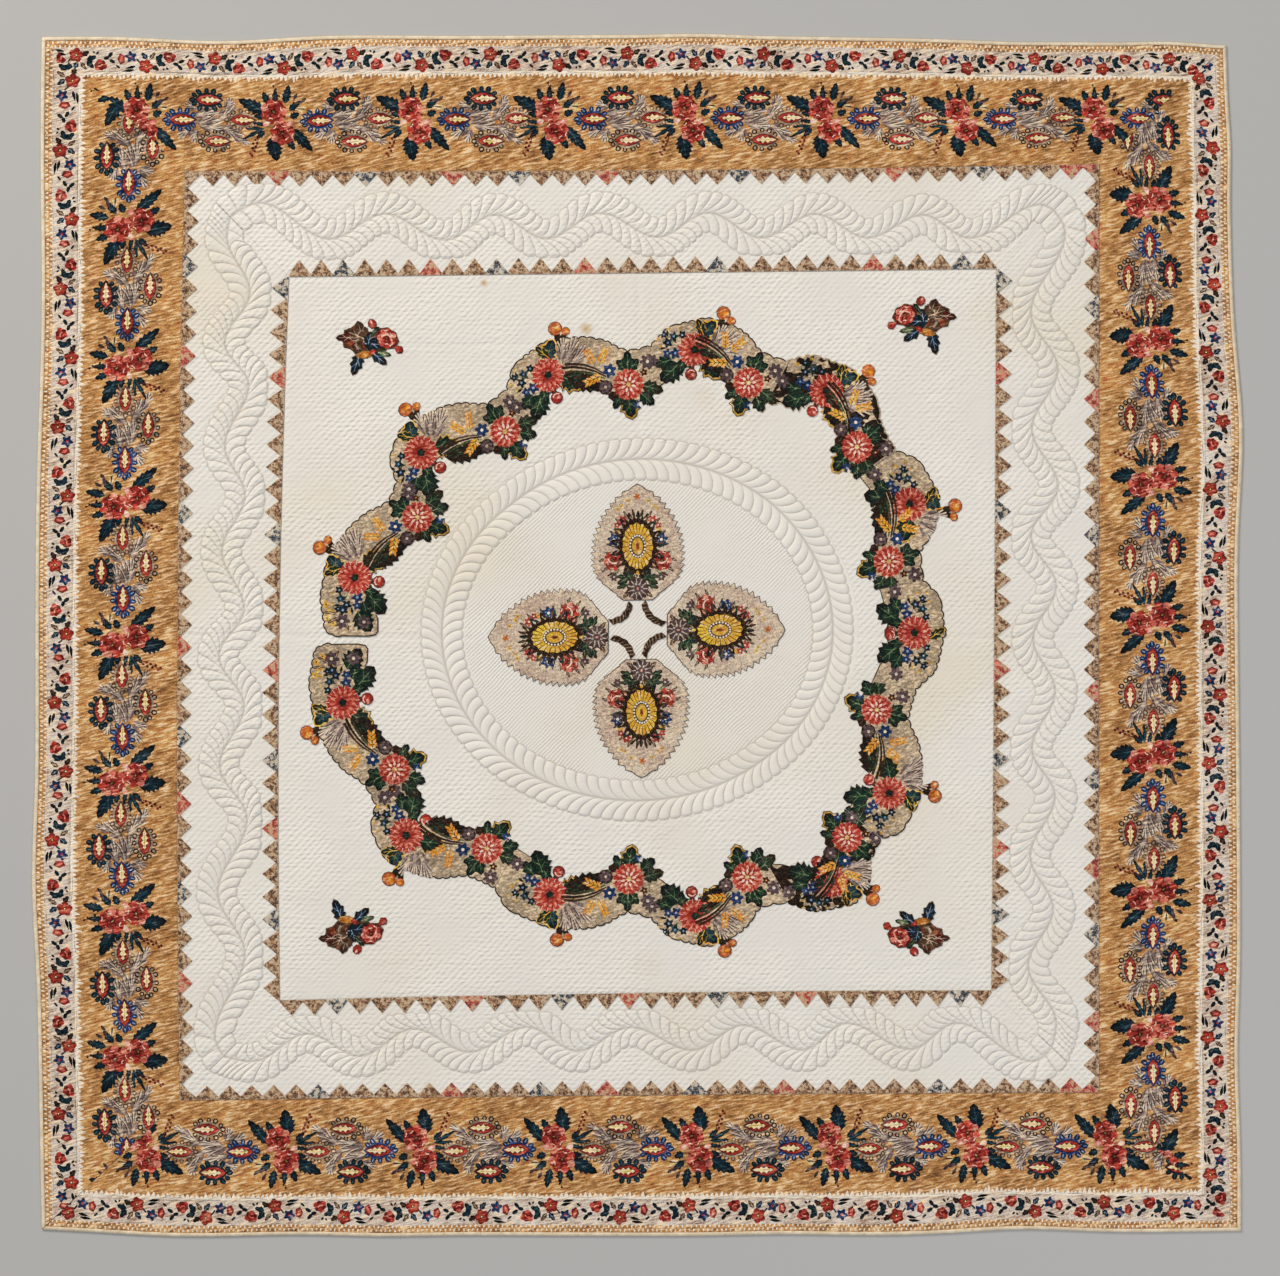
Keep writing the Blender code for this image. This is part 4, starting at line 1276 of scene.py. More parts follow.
def small_stripe(half_repeat):
    """Half a repeat of the stripe of small flowers. The other half is upside down."""
    made = []
    for turn in (80, 5, -70, 150, 220):
        made += spot((0, 14), turn, petal(19, 17), "rust", "brick", (0, 0), 14)
        made += spot((0, 14), turn, petal(13, 7, 2), "coral")
    made += spot((0, 14), 0, oval(9, 9, 5), "umber") + spot((0, 14), 0, oval(5, 5, 4), "cream")
    made += [item for row in STRIPE_LEAVES for item in leaf_between(*row)]
    made += placed(rose(32, 29), (59, -12), 20)
    for base, tip, width in STRIPE_LEAFLETS:
        length, turn = span(base, tip)
        made += spot(np.add(base, tip) / 2, turn, oval(length * 1.1, width, 6), "navy", "night")
    made += spot((112, 4), 0, scalloped(14, 5, 0.2) * (0.75, 1.1), "coral", "wine", (4, 4), 18)
    made += spot((108, -6), 70, petal(18, 9, 2), "coral", "pink")
    made += placed(floret(15, "blue", "night", "coral"), (136, 10), 10)
    made += spot((136, 10), 150, petal(12, 8, 2), "sky", "mauve")
    for base, tip in (((112, -28), (142, -24)), ((120, -21), (146, -15))):
        length, turn = span(base, tip)
        made += spot(base, turn, petal(length + 5, 12), "white", "dove")
        made += spot(base, turn, petal(length, 8.5), "night")
    for start, end in (((-40, -30), (30, -33)), ((60, -36), (110, -34)), ((20, 31), (90, 34))):
        made.append(patch(stroke(arc(start, end, 2, 3), 1.4, 0.9), "taupe"))
    return placed(made, (half_repeat * REPEAT / 2, FLOWER_LINE), mirror=half_repeat % 2 == 1)


def stripes(low, high):
    """The bands along a strip: the grey stripe with its jagged white edge, and the ticks outside it."""
    jagged_edge, place = [(low, 250)], low

    def rough(pitch, seed):
        return float(noise(np.array(place / pitch), np.array(0.5), seed))

    while place < high:
        width, deep = 7.0 + 9.0 * rough(9, 11), 3.0 + 15.0 * rough(7, 12) ** 1.3
        lean = 5.0 * rough(11, 13) - 2.5
        jagged_edge += [(place, 248), (place + width * 0.34 + lean, 248 - deep),
                        (place + width * 0.56 + lean, 248.5 - deep)]
        place = place + width
    made = [patch([*jagged_edge, (high, 256), (low, 256)], "white"),
            patch([(low, 253), (high, 253), (high, STRIPE_EDGE), (low, STRIPE_EDGE)], "dove")]
    for row, phase in ((319.5, 0.0), (329.0, 5.5)):
        for number, tick in enumerate(np.arange(low, high, 11.5)):
            lift, lean = 1.2 * math.sin(number * 2.4 + row), 1.5 * math.sin(number * 1.7 + row)
            x = tick + phase
            made.append(patch([(x, row - 3), (x + 5, row - 3), (x + 4.5 + lean, row + 3 + lift),
                               (x + 2 + lean, row + 3.5 + lift)], "cream", "white"))
    return made


print("half a repeat of the stripe:", len(small_stripe(0)), "patches")

# %% Printed cloth
def make_printed_cotton(name, roughness, wrinkle, painted_wrinkle_shading, streak=0.0052, stretch=(0.2, 1, 1), stipple=0.0):
    """Printed cotton: the inks, a little worn, over the weave and the fine wrinkles of shrunk quilting, with
    painted shade and highlights on those wrinkles.
    """
    cloth = Cloth(name, roughness, 0.08)
    times, mix, ramp, lumps = cloth.times, cloth.mix, cloth.ramp, cloth.lumps

    def overlaid(share, ink, height, low, high):
        """An ink darkened at a low height and lightened at a high one."""
        shade = cloth.add("MapRange", Value=height, From_Min=low, From_Max=high, To_Min=0.08, To_Max=0.86)
        return mix(share, ink, shade.outputs[0], "OVERLAY")

    def tilted(degrees):
        return cloth.add("Mapping", Vector=cloth.place, Rotation=(0, 0, math.radians(degrees))).outputs[0]

    # ink laid by hand varies in strength, in slow patches and in small flecks
    ink = cloth.add("Attribute", {"attribute_name": "print"}).outputs["Color"]
    ink = overlaid(0.35, ink, lumps(0.10, 3.0), 0.30, 0.72)
    ink = overlaid(0.45, ink, lumps(0.0042), 0.30, 0.70)
    # some grounds are printed with fine dark dots, drawn coarser than real
    ink = mix(times(ramp(lumps(0.0034, 1.0), 0.54, 0.66), stipple), ink, "#6E5440")
    # cloth that has shrunk round its quilting is drawn up into short wrinkles that run from left to right
    short = lumps(streak, 2.0, stretch, tilted(-14))
    relief = times(lumps(0.012, 1.0, (0.3, 1, 1), tilted(-38)), 0.35, short)
    # painted shade in the troughs of the wrinkles and painted light on their crests
    ink = overlaid(painted_wrinkle_shading, ink, relief, 0.45, 0.90)
    # a painted highlight on the crest of each wrinkle, strongest on pale inks, for the light their glaze catches
    pale = cloth.add("RGBToBW", Color=ink).outputs[0]
    ink = mix(times(ramp(relief, 0.68, 0.86), times(pale, 1.3)), ink, "#F6DDB8")
    return cloth.finish(ink, relief, wrinkle)


BORDER_CHINTZ = make_printed_cotton("glazed furnishing chintz", 0.62, 0.0046, 0.80)
print(BORDER_CHINTZ.name)

# %% Lay a print on a sheet
def printed(outline, spacing, patches, base, height_of, extra=None):
    """Fills an outline and paints it. Patches are in metres and in the outline's own coordinates."""
    points, triangles, top = filled(outline, spacing, [p[0] for p in patches], extra=extra)
    near = np.array([p[1] for p in patches] + [base])
    far = np.array([p[2] for p in patches] + [base])
    focus = np.array([p[3] for p in patches] + [(0.0, 0.0)])
    reach = np.array([p[4] for p in patches] + [1.0])
    corners = points[triangles]
    away = np.hypot(*np.moveaxis(corners - focus[top][:, None, :], 2, 0)) / reach[top][:, None]
    share = np.clip(away, 0, 1)[..., None]
    paint = near[top][:, None, :] * (1 - share) + far[top][:, None, :] * share
    return np.column_stack([points, height_of(points)]), triangles, paint


def in_box(patches, low, high):
    """Only the patches that reach into a box."""
    return [p for p in patches if (p[0].max(axis=0) > low).all() and (p[0].min(axis=0) < high).all()]


def chintz_height(points, side):
    """Slanting ridges between the quilting lines, the creases and the dip at the seams."""
    place = turned_to_side(points, side)
    x, y = place[:, 0], place[:, 1]
    across = (x - y) / math.sqrt(2) / 0.0285 + 0.8 * noise(x / 0.2, y / 0.2, 21)
    ridge = abs(np.sin(np.pi * across)) ** 0.7
    out = points[:, 1]
    height = 0.0034 + 0.0016 * ridge + puckers(x, y, 0.0016) - crease_depth(x, y)
    for seam in (CHINTZ_INNER, OUTER_HALF - BINDING_WIDTH):
        height = height - 0.0014 * np.exp(-(((out - seam) / 0.004) ** 2))
    return np.clip(height, 0.0012, 0.0066)


# where the first flower head stands on each side, in mm from its middle
FLOWER_PLACES = (125.0, -40.0, -137.5, -10.0)
STRIPE_START = -157.0  # from a flower head to an orange flower of the narrow stripe


def make_chintz_border(side):
    inner, outer = CHINTZ_INNER + SEAM / 2, OUTER_HALF - BINDING_WIDTH - SEAM / 2
    corners = [(way * (out - SEAM / 2), out) for way, out in ((-1, inner), (1, inner), (1, outer), (-1, outer))]
    outline = np.vstack([straight(*ends, 0.011) for ends in zip(corners, corners[1:] + corners[:1])])
    first = FLOWER_PLACES[side]
    patches = stripes(-1500.0, 1500.0)
    for repeat in range(-5, 6):
        at = first + repeat * REPEAT
        patches += placed(medallions(), (at + REPEAT / 2, HEAD_LINE))
        patches += placed(flower_head(), (at, HEAD_LINE))
        for half in (2 * repeat, 2 * repeat + 1):
            patches += placed(small_stripe(half), (first + STRIPE_START, 0))
    patches = placed(patches, (0, CHINTZ_INNER), 0, 0.001)
    nearest = [max(0.0, p[0][:, 0].min(), -p[0][:, 0].max()) for p in patches]
    patches = [p for p, near in zip(patches, nearest) if near < min(p[0][:, 1].max() + 0.003, outer)]
    points, triangles, paint = printed(outline, 0.0105, patches, INKS["tan"],
                                       lambda place: chintz_height(place, side))
    points = np.column_stack([turned_to_side(points[:, :2], side), points[:, 2]])
    make_sheet("chintz_border_" + SIDES[side], points, triangles, [BORDER_CHINTZ, PLAIN_COTTON],
               paint=paint)


for side in range(4):
    make_chintz_border(side)

# %% [markdown]
# ## Saw-tooth rows and the binding
# The two rows of teeth were cut from scraps of darker prints and sewn down with their edges turned under, so
# neighbouring teeth can differ. The binding is a narrow strip of pale cotton folded over the edge of all the
# layers. Its crown is round, and it is the last thing a quilter sews.

# %% Scrap prints
def make_scrap_print(name, ground, leaf_ink, dark_ink, accent, leaf_size):
    """A small all-over print: leafy shapes on a ground, with darker hearts and a second ink."""
    cloth = Cloth(name, 0.85)
    times, mix, ramp, lumps = cloth.times, cloth.mix, cloth.ramp, cloth.lumps
    bend = cloth.add("TexNoise", Vector=cloth.place, Scale=90.0, Detail=1.0).outputs["Color"]
    shifted = cloth.add("Mix", {"data_type": "VECTOR"}, i0=0.012, i4=cloth.place, i5=bend).outputs[1]
    leaves = lumps(leaf_size, place=shifted)
    cells = cloth.add("TexVoronoi", Vector=shifted, Scale=0.55 / leaf_size).outputs["Distance"]
    ink = mix(ramp(leaves, 0.46, 0.52), ground, leaf_ink)
    ink = mix(ramp(leaves, 0.56, 0.62), ink, dark_ink)
    ink = mix(cloth.value("SUBTRACT", 1.0, ramp(cells, 0.20, 0.32)), ink, accent)
    specks = lumps(0.0032, 1.0)
    ink = mix(times(ramp(specks, 0.56, 0.66), 0.6), ink, dark_ink)
    ink = mix(times(ramp(specks, 0.46, 0.36), 0.5), ink, ground)
    return cloth.finish(ink, lumps(0.008, 2.0, (0.35, 1, 1)), 0.0016)


SCRAPS = [
    make_scrap_print("brown leafy print", "#C9AE8E", "#8A5F40", "#432C1F", "#A5754C", 0.0095),
    make_scrap_print("red flowered print", "#CBA685", "#C0463A", "#7E2420", "#E08A70", 0.013),
    make_scrap_print("blue flowered print", "#CDBEA8", "#3A4A5C", "#15202C", "#DCD3C4", 0.012),
]
print("scraps:", [scrap.name for scrap in SCRAPS])

# %% Sew the rows of teeth
TOOTH_ROWS = (  # name, teeth, seam, way, tooth height, band, length and reach of the corner piece, in metres
    ("sawtooth_inner", 32, CENTRE_HALF, 1, 0.040, 0.005, 0.0, 0.0),
    ("sawtooth_outer", 40, CHINTZ_INNER, -1, 0.036, 0.007, 0.040, 0.022),
)
CUT_OUT_LOW = 0.0043  # underside of everything sewn on top
CUT_OUT_RIM = 0.0052  # height of a cut-out at its rim
CUT_OUT_HIGH = 0.0060  # and inside its turned edge
TURNED_EDGE = 0.003  # width of that edge
SCRAP_CHOICE = "0001000200010020001000002000"  # which scrap each tooth is cut from


def cut_out_height(points, outline):
    """Turned edges make a piece thin at its rim and a little puffed inside."""
    away = edge_distance(points, outline, TURNED_EDGE) / TURNED_EDGE
    puff = noise(points[:, 0] / 0.02, points[:, 1] / 0.02, 31) - 0.5
    return CUT_OUT_RIM + (CUT_OUT_HIGH - CUT_OUT_RIM) * np.sin(np.pi / 2 * away) + 0.0004 * puff


def make_tooth_row(side, name, teeth, seam, way, tooth_height, band, corner, corner_reach):
    base = seam + way * 2 * SEAM
    half = base - 2 * SEAM
    pitch = 2 * (half - corner) / teeth
    reaches = (band, tooth_height)
    tips = [(corner - half + step * pitch / 2, reaches[step % 2]) for step in range(2 * teeth + 1)]
    if corner:
        tips = [(-half, corner_reach), *tips, (half, corner_reach)]
    edge = []
    for along, reach in tips:
        out = base + way * reach
        limit = out - 2 * SEAM
        edge.append((float(np.clip(along, -limit, limit)), out))
    edge = [straight(*ends, 0.010) for ends in zip(edge, edge[1:])] + [edge[-1:]]
    limit = base - 2 * SEAM
    seam_line = straight((limit, base), (-limit, base), 0.012)
    outline = counterclockwise(tidy(np.vstack([*edge, seam_line, [(-limit, base)]])))
    points, triangles, _ = filled(outline, 0.0075)
    height = cut_out_height(points, outline)
    middles = points[triangles].mean(axis=1)
    number = np.clip(((middles[:, 0] + half - corner) / pitch).astype(int), 0, teeth - 1)
    choice = np.array([int(each) for each in SCRAP_CHOICE])
    surface = choice[(number + 9 * side + 5 * (way > 0)) % len(choice)]
    points = np.column_stack([turned_to_side(points, side), height])
    make_sheet(f"{name}_{SIDES[side]}", points, triangles, [*SCRAPS, PLAIN_COTTON],
               underside=CUT_OUT_LOW, surface=surface)


for side in range(4):
    for row in TOOTH_ROWS:
        make_tooth_row(side, *row)

# %% The binding
def make_binding_cotton():
    """Pale binding cotton, soiled along its fold, with small tucks where it was pulled tight."""
    cloth = Cloth("pale binding cotton", 0.85)
    ink = cloth.mix(cloth.ramp(cloth.lumps(0.03, 3.0), 0.4, 0.7), "#DCCBAE", "#EEDFC4")
    tucks = cloth.lumps(0.006)
    ink = cloth.mix(cloth.times(cloth.ramp(tucks, 0.58, 0.70), 0.5), ink, "#B98F5E")
    return cloth.finish(ink, tucks, 0.0015)


BINDING_COTTON = make_binding_cotton()
BINDING_STEPS = 260
BINDING_ROWS = (  # place across, height
    (0.0, 0.0040), (0.12, 0.0049), (0.4, 0.0053), (0.75, 0.0047), (1.0, 0.0028),
)


def make_binding(side):
    inner = OUTER_HALF - BINDING_WIDTH + SEAM / 2
    rows = []
    for across, height in BINDING_ROWS:
        out = inner + across * (OUTER_HALF - inner)
        along = np.linspace(-1, 1, BINDING_STEPS + 1) * (out - SEAM / 2)
        tuck = 0.0004 * (noise(along / 0.015, np.full_like(along, side + across * 0.5), 41) - 0.5)
        flat = turned_to_side(np.column_stack([along, np.full_like(along, out)]), side)
        rows.append(np.column_stack([flat, height + tuck]))
    points = np.stack(rows, axis=1).reshape(-1, 3)
    triangles = grid_triangles(BINDING_STEPS + 1, len(BINDING_ROWS))
    make_sheet("binding_" + SIDES[side], points, triangles, [BINDING_COTTON, PLAIN_COTTON])


for side in range(4):
    make_binding(side)

# %% [markdown]
# ## Cut-outs
# This is the broderie perse itself: flowers cut out of printed chintz and sewn down one by one, with their
# edges turned under. The outline of a cut-out runs round its motifs, so it is found by joining the outlines
# of the shapes at its rim. The dark line at the rim is partly the printed line that the maker kept to hide the
# stitches and partly painted shadow along the cut edge.

# %% Join shapes into one outline
def joined_outline(shapes):
    """The longest edge round several overlapping shapes, without its shortest steps."""
    loops, points = [], []
    for shape in shapes:
        loops.append(list(range(len(points), len(points) + len(shape))))
        points += [tuple(p) for p in counterclockwise(np.asarray(shape)) * 1000]
    found = delaunay_2d_cdt(points, [], loops, 1, 1e-3, True)
    made = np.array([tuple(p) for p in found[0]]) / 1000
    triangles = np.array([face for face, holding in zip(found[2], found[5]) if holding])
    following = dict(open_edges(triangles, len(made)))
    best = []
    while following:
        loop = [next(iter(following))]
        while loop[-1] in following:
            loop.append(following.pop(loop[-1]))
        if len(loop) > len(best):
            best = loop
    outline = made[best[:-1]]
    long_enough = np.hypot(*(outline - np.roll(outline, 1, axis=0)).T) > 0.0012
    return outline[long_enough]


def shrunk(outline, distance):
    """An outline drawn in by a distance."""
    outline = counterclockwise(outline)
    before, after = outline - np.roll(outline, 1, axis=0), np.roll(outline, -1, axis=0) - outline
    before, after = (run / np.maximum(np.hypot(*run.T), 1e-9)[:, None] for run in (before, after))
    inwards = np.column_stack([-(before + after)[:, 1], (before + after)[:, 0]])
    inwards /= np.maximum(np.hypot(*inwards.T), 0.6)[:, None]
    return outline + distance * inwards


def largest_part(triangles):
    """Which triangles belong to the largest group that hangs together by edges."""
    label = list(range(len(triangles)))

    def root(number):
        while label[number] != number:
            label[number] = label[label[number]]
            number = label[number]
        return number

    owner = {}
    for number, corners in enumerate(triangles.tolist()):
        for edge in zip(corners, corners[1:] + corners[:1]):
            key = (min(edge), max(edge))
            if key in owner:
                label[root(number)] = root(owner[key])
            owner[key] = number
    roots = np.array([root(number) for number in range(len(triangles))])
    names, sizes = np.unique(roots, return_counts=True)
    return roots == names[sizes.argmax()]


def make_cut_out(node, outline, patches, ground_ink, material, rim=0.0022, spacing=0.0095, covers=()):
    """A printed cut-out: a dark rim line, partly print and partly painted shadow at the cut edge, its ground and
    the motifs on it. Patches are in metres.
    """
    outline = counterclockwise(tidy(outline))
    near = in_box(patches, outline.min(axis=0) - 0.002, outline.max(axis=0) + 0.002)
    # the dark line ink left showing at the rim is partly the printed outline and partly painted shadow along the
    # cut edge
    grounds = [patch(shape, ground_ink) for shape in (shrunk(outline, rim), *covers)]
    points, triangles, paint = printed(outline, spacing, [*grounds, *near], INKS["line"],
                                       lambda place: cut_out_height(place, outline))
    # where the drawn-in outline crosses itself, the ground is filled in by its distance from the edge
    middles = points[triangles].mean(axis=1)[:, :2]
    bare = (paint == INKS["line"]).all(axis=(1, 2)) & clear_of(middles, outline, rim)
    paint[bare] = INKS[ground_ink]
    whole = largest_part(triangles)
    used, triangles = np.unique(triangles[whole], return_inverse=True)
    make_sheet(node, points[used], triangles.reshape(-1, 3), [material, PLAIN_COTTON],
               paint=paint[whole], underside=CUT_OUT_LOW)


STRETCH = (0.5, 1, 1)  # of the ink's streaks
PALM_CHINTZ = make_printed_cotton("chintz with a stippled ground", 0.75, 0.0012, 0.22, 0.006, STRETCH, 0.55)
GARLAND_CHINTZ = make_printed_cotton("chintz printed with garlands", 0.75, 0.0018, 0.50, 0.0055, STRETCH, 0.2)
print(PALM_CHINTZ.name, "and", GARLAND_CHINTZ.name)

# %% [markdown]
# ## The cross of palms
# Four toothed palms point outwards from the middle, tied together by short twisted stems. Each holds a yellow
# sunburst with a ring of white beads, two roses, blue florets and buds, and a grey pompon at its foot.

# %% Outline of a palm
PALMS = (  # name, degrees, base, tip, shift, half width, in metres
    ("palm_top", 90, 0.088, 0.376, 0.006, 0.117),
    ("palm_right", 0, 0.068, 0.368, 0.015, 0.119),
    ("palm_bottom", -90, 0.058, 0.357, 0.004, 0.121),
    ("palm_left", 180, 0.078, 0.378, 0.003, 0.120),
)
PALM_TEETH = 19  # along each edge
PALM_TOOTH = 0.0108
PALM_HEM = 0.0075  # how far the feet of the teeth lie inside the half width
PALM_SHAPE = np.array([  # share of the way from base to tip, share of the half width
    (0.00, 0.34), (0.05, 0.47), (0.11, 0.68), (0.18, 0.88), (0.26, 0.98), (0.40, 1.00), (0.55, 0.95),
    (0.70, 0.79), (0.85, 0.50), (0.94, 0.25), (1.00, 0.00),
])


def palm_outline(base, tip, shift, half_width):
    """Up one edge from the base and down the other, along x. Teeth lean a little towards the tip."""
    steps = 2 * PALM_TEETH
    outline = []
    for hand in (-1, 1):
        for step in range(steps + (hand > 0)):
            share = step / steps if hand < 0 else 1 - step / steps
            tooth = PALM_TOOTH * (step % 2) * min(1, 9 * (1 - share))
            swell = float(np.interp(share, *PALM_SHAPE.T))
            reach = (half_width - PALM_HEM) * swell + tooth * (0.25 + 0.75 * swell**0.3)
            outline.append((base + share * (tip - base) + 0.45 * tooth, shift + hand * reach))
    return np.array(outline)


print("a palm's outline has", len(palm_outline(*PALMS[0][2:])), "points")

# %% The sunburst
RAY_INKS = ("green", "umber", "navy", "brown", "night")


def jagged(length, width, tips, depth):
    """An oval with a jagged rim, like a ring of small dark leaves."""
    turn = np.arange(2 * tips) * np.pi / tips
    reach = np.where(np.arange(2 * tips) % 2, 0.0, -depth)
    return np.column_stack([(length / 2 + reach) * np.cos(turn), (width / 2 + reach) * np.sin(turn)])


def on_oval(long, wide, count):
    """Places round an oval of two half widths, with each one's direction in degrees."""
    for step in range(count):
        turn = 2 * math.pi * step / count
        yield (long * math.cos(turn), wide * math.sin(turn)), math.degrees(turn)


def sunburst(length, width):
    """A yellow oval of rays with beads round its heart, in a ring of dark foliage."""
    made = [patch(jagged(length + 42, width + 38, 30, 12), "umber")]
    for step, (at, turn) in enumerate(on_oval(length / 2 + 12, width / 2 + 11, 34)):
        made += spot(at, turn + (-22, 24)[step % 2], leaf_outline(19, 8, 1), RAY_INKS[step * 3 % 5])
    made += [patch(jagged(length + 18, width + 18, 26, 4), "umber", "line"),
             patch(oval(length, width, 30) * np.tile([[1.0], [0.93]], (15, 1)), "gold", "yellow")]
    rays = zip(on_oval(0.29 * length, 0.29 * width, 24), on_oval(0.49 * length, 0.49 * width, 24))
    made += [patch(stroke([start, end], 1.0, 2.6), "brown", "umber") for (start, _), (end, _) in rays]
    made.append(patch(oval(0.52 * length, 0.56 * width, 16), "brown", "umber"))
    for at, _ in on_oval(0.225 * length, 0.24 * width, 20):
        made += spot(at, 0, oval(5.6, 5.6, 5), "white")
    return made + [patch(oval(0.37 * length, 0.36 * width, 12), "yellow", "gold"),
                   patch(oval(0.19 * length, 0.12 * width, 5), "umber", "rust")]


print("the sunburst has", len(sunburst(117, 79)), "patches")

# %% What is printed on a palm
PALM_LEAVES = (  # base, tip, width and inks, on one half
    (60, 20, 40, 52, 20, "green night moss"), (56, 12, 78, 34, 16, "green night moss"),
    (60, 30, 58, 60, 12, "green night moss"), (78, 44, 64, 68, 10, "moss green sand"),
    (110, 50, 120, 84, 9, "moss green sand"), (134, 52, 140, 80, 9, "green night sand"),
    (160, 48, 172, 72, 9, "green night sand"), (186, 38, 204, 58, 9, "green umber sand"),
    (200, 24, 222, 36, 9, "umber umber sand"), (204, 8, 226, 14, 8, "umber umber brown"),
    (48, 10, 70, 34, 20, "green night moss"), (70, 60, 60, 78, 7, "umber umber brown"),
    (40, 26, 30, 54, 15, "green night moss"), (20, 22, 8, 38, 13, "umber brown sand"),
    (84, 74, 70, 92, 8, "umber umber sand"), (104, 84, 96, 100, 8, "green night sand"),
)


def palm_half():
    """The flowers of one half of a palm."""
    beads = [(150 + 8 * math.cos(t), 60 + 8 * math.sin(t)) for t in (0.3, 1.7, 3.1, 4.4, 5.5)]
    made = placed(bloom(25), (98, 62), 40)
    made += spot((100, 64), 30, stroke(arc((-12, -6), (10, 8), 6, 4), 5, 3), "blush")
    made += placed(floret(17, "blue", "navy", "white", 6), (150, 60)) + berries(beads, 4.5, "white", "sky")
    made += spot((168, 46), 40, petal(18, 13), "yellow", "gold")
    made += placed(floret(12, "coral", "brick", "blush", 6), (198, 38), 10)
    made += placed(floret(9, "coral", "brick", "white"), (186, 52), 40)
    made += placed(floret(11, "mauve", "umber", "dove", 6), (58, 60), 10)
    for at in ((246, 27), (232, 42), (226, 52)):
        made += placed(floret(6.5, "yellow", "gold", "brown", 4), at, 20)
    return made


def palm_motifs():
    """Everything printed on a palm, in mm from its base along x."""
    made = []
    for hand in (-1, 1):
        for x0, y0, x1, y1, width, inks in PALM_LEAVES:
            made += placed(leaf_between((x0, y0), (x1, y1), width, 2, *inks.split()), mirror=hand < 0)
        made += placed(palm_half(), mirror=hand < 0)
    made += placed(sunburst(117, 79), (134, 0), 3)
    made += placed(floret(8.5, "orange", "rust", "brick"), (256, 2))
    made += spot((68, 0), 0, oval(12, 8, 6), "yellow", "gold")
    made.append(patch(scalloped(31, 12, 0.18) + (29, 0), "mauve", "umber", (29, 0), 31))
    own = [patch(petal(18, 9, 2), "umber", "mauve", (0, 0), 18),
           patch(stroke([(4, 0), (15, 0)], 2.0, 1.4), "dove")]
    pompon = ringed(own, 11, 10, 8) + ringed([patch(petal(10, 6, 2), "mauve", "dove")], 8, 5, 20)
    pompon += [patch(oval(20, 20, 8), "umber", "mauve"), patch(oval(9, 6, 5), "blush", "pink")]
    return made + placed(pompon, (29, 0))


def spun(points, degrees):
    """Points turned about the middle."""
    c, s = math.cos(math.radians(degrees)), math.sin(math.radians(degrees))
    return points @ np.array([[c, s], [-s, c]])


for name, degrees, base, tip, shift, half_width in PALMS:
    outline = spun(palm_outline(base, tip, shift, half_width), degrees)
    motifs = placed(palm_motifs(), spun(np.array([base, shift]), degrees), degrees, 0.001)
    make_cut_out(name, outline, motifs, "shell", PALM_CHINTZ, rim=0.0021)

# %% The twisted stems between the palms
STEMS = (  # name, start, end, in metres
    ("stem_upper_left", (-0.0232, 0.0811), (-0.0743, 0.0343)),
    ("stem_upper_right", (0.0092, 0.0828), (0.0612, 0.0294)),
    ("stem_lower_left", (-0.0702, -0.0034), (-0.0183, -0.0527)),
    ("stem_lower_right", (0.0616, 0.0039), (0.0104, -0.0509)),
)
STEM_BOW = 0.012  # towards the middle of the quilt


def make_stem(name, start, end):
    """A bowed rope of two strands, dark where they cross."""
    length, heading = span(start, end)
    middle = (np.array(start) + np.array(end)) / 2
    bow = -STEM_BOW if spun(np.array([0.0, 1.0]), heading)[1] * middle[1] > 0 else STEM_BOW
    share = np.linspace(0, 1, 25)
    x, y = (share - 0.5) * length, bow * np.sin(np.pi * share)
    half = 0.0069 + 0.0022 * abs(np.sin(3.5 * np.pi * share))
    outline = np.vstack([np.column_stack([x, y - half]), np.column_stack([x, y + half])[::-1]])
    own = [patch(stroke(arc((-7, -8), (7, 8), 2), 5.5, 4.5), "umber", "line"),
           patch(stroke(arc((-2, -8), (11, 7), 2), 1.8, 1.4), "taupe", "brown")]
    twists = []
    for share in np.linspace(0, 1, 9):
        twists += placed(own, (1000 * (share - 0.5) * length, 1000 * bow * math.sin(math.pi * share)))
    make_cut_out(name, spun(outline, heading) + middle, placed(twists, middle, heading, 0.001), "brown",
                 PALM_CHINTZ, rim=0.0014, spacing=0.006)


for row in STEMS:
    make_stem(*row)

# %% [markdown]
# ## Corner sprigs
# One sprig of a full-blown rose, brown leaves and a drooping dark leaf stands in each corner of the centre
# panel. It is the same cutting each time, turned over or turned round.

# %% What is printed on a sprig
SPRIGS = (  # name, middle in metres, turn in degrees, turned over
    ("sprig_top_left", (-0.700, 0.722), 0, False),
    ("sprig_top_right", (0.720, 0.762), 176, True),
    ("sprig_bottom_right", (0.715, -0.742), 180, False),
    ("sprig_bottom_left", (-0.725, -0.718), 4, True),
)
SPRIG_LEAVES = (  # base, tip, width, teeth and inks
    (-4, 8, -20, 62, 36, 3, "brown umber sand"), (0, 18, -52, 40, 36, 3, "brown umber sand"),
    (-30, 24, -74, 22, 24, 2, "wine umber sand"), (-8, -8, -34, 6, 30, 2, "brown umber taupe"),
    (-14, -18, -30, -70, 30, 3, "navy night sky"), (16, -14, 52, -44, 26, 2, "navy night sky"),
    (-6, 8, 50, 4, 36, 3, "navy night sky"), (6, 4, 14, 36, 28, 2, "navy night sky"),
    (14, 26, 34, 48, 16, 1, "green night moss"), (30, -14, 64, -22, 16, 2, "moss green sand"),
)


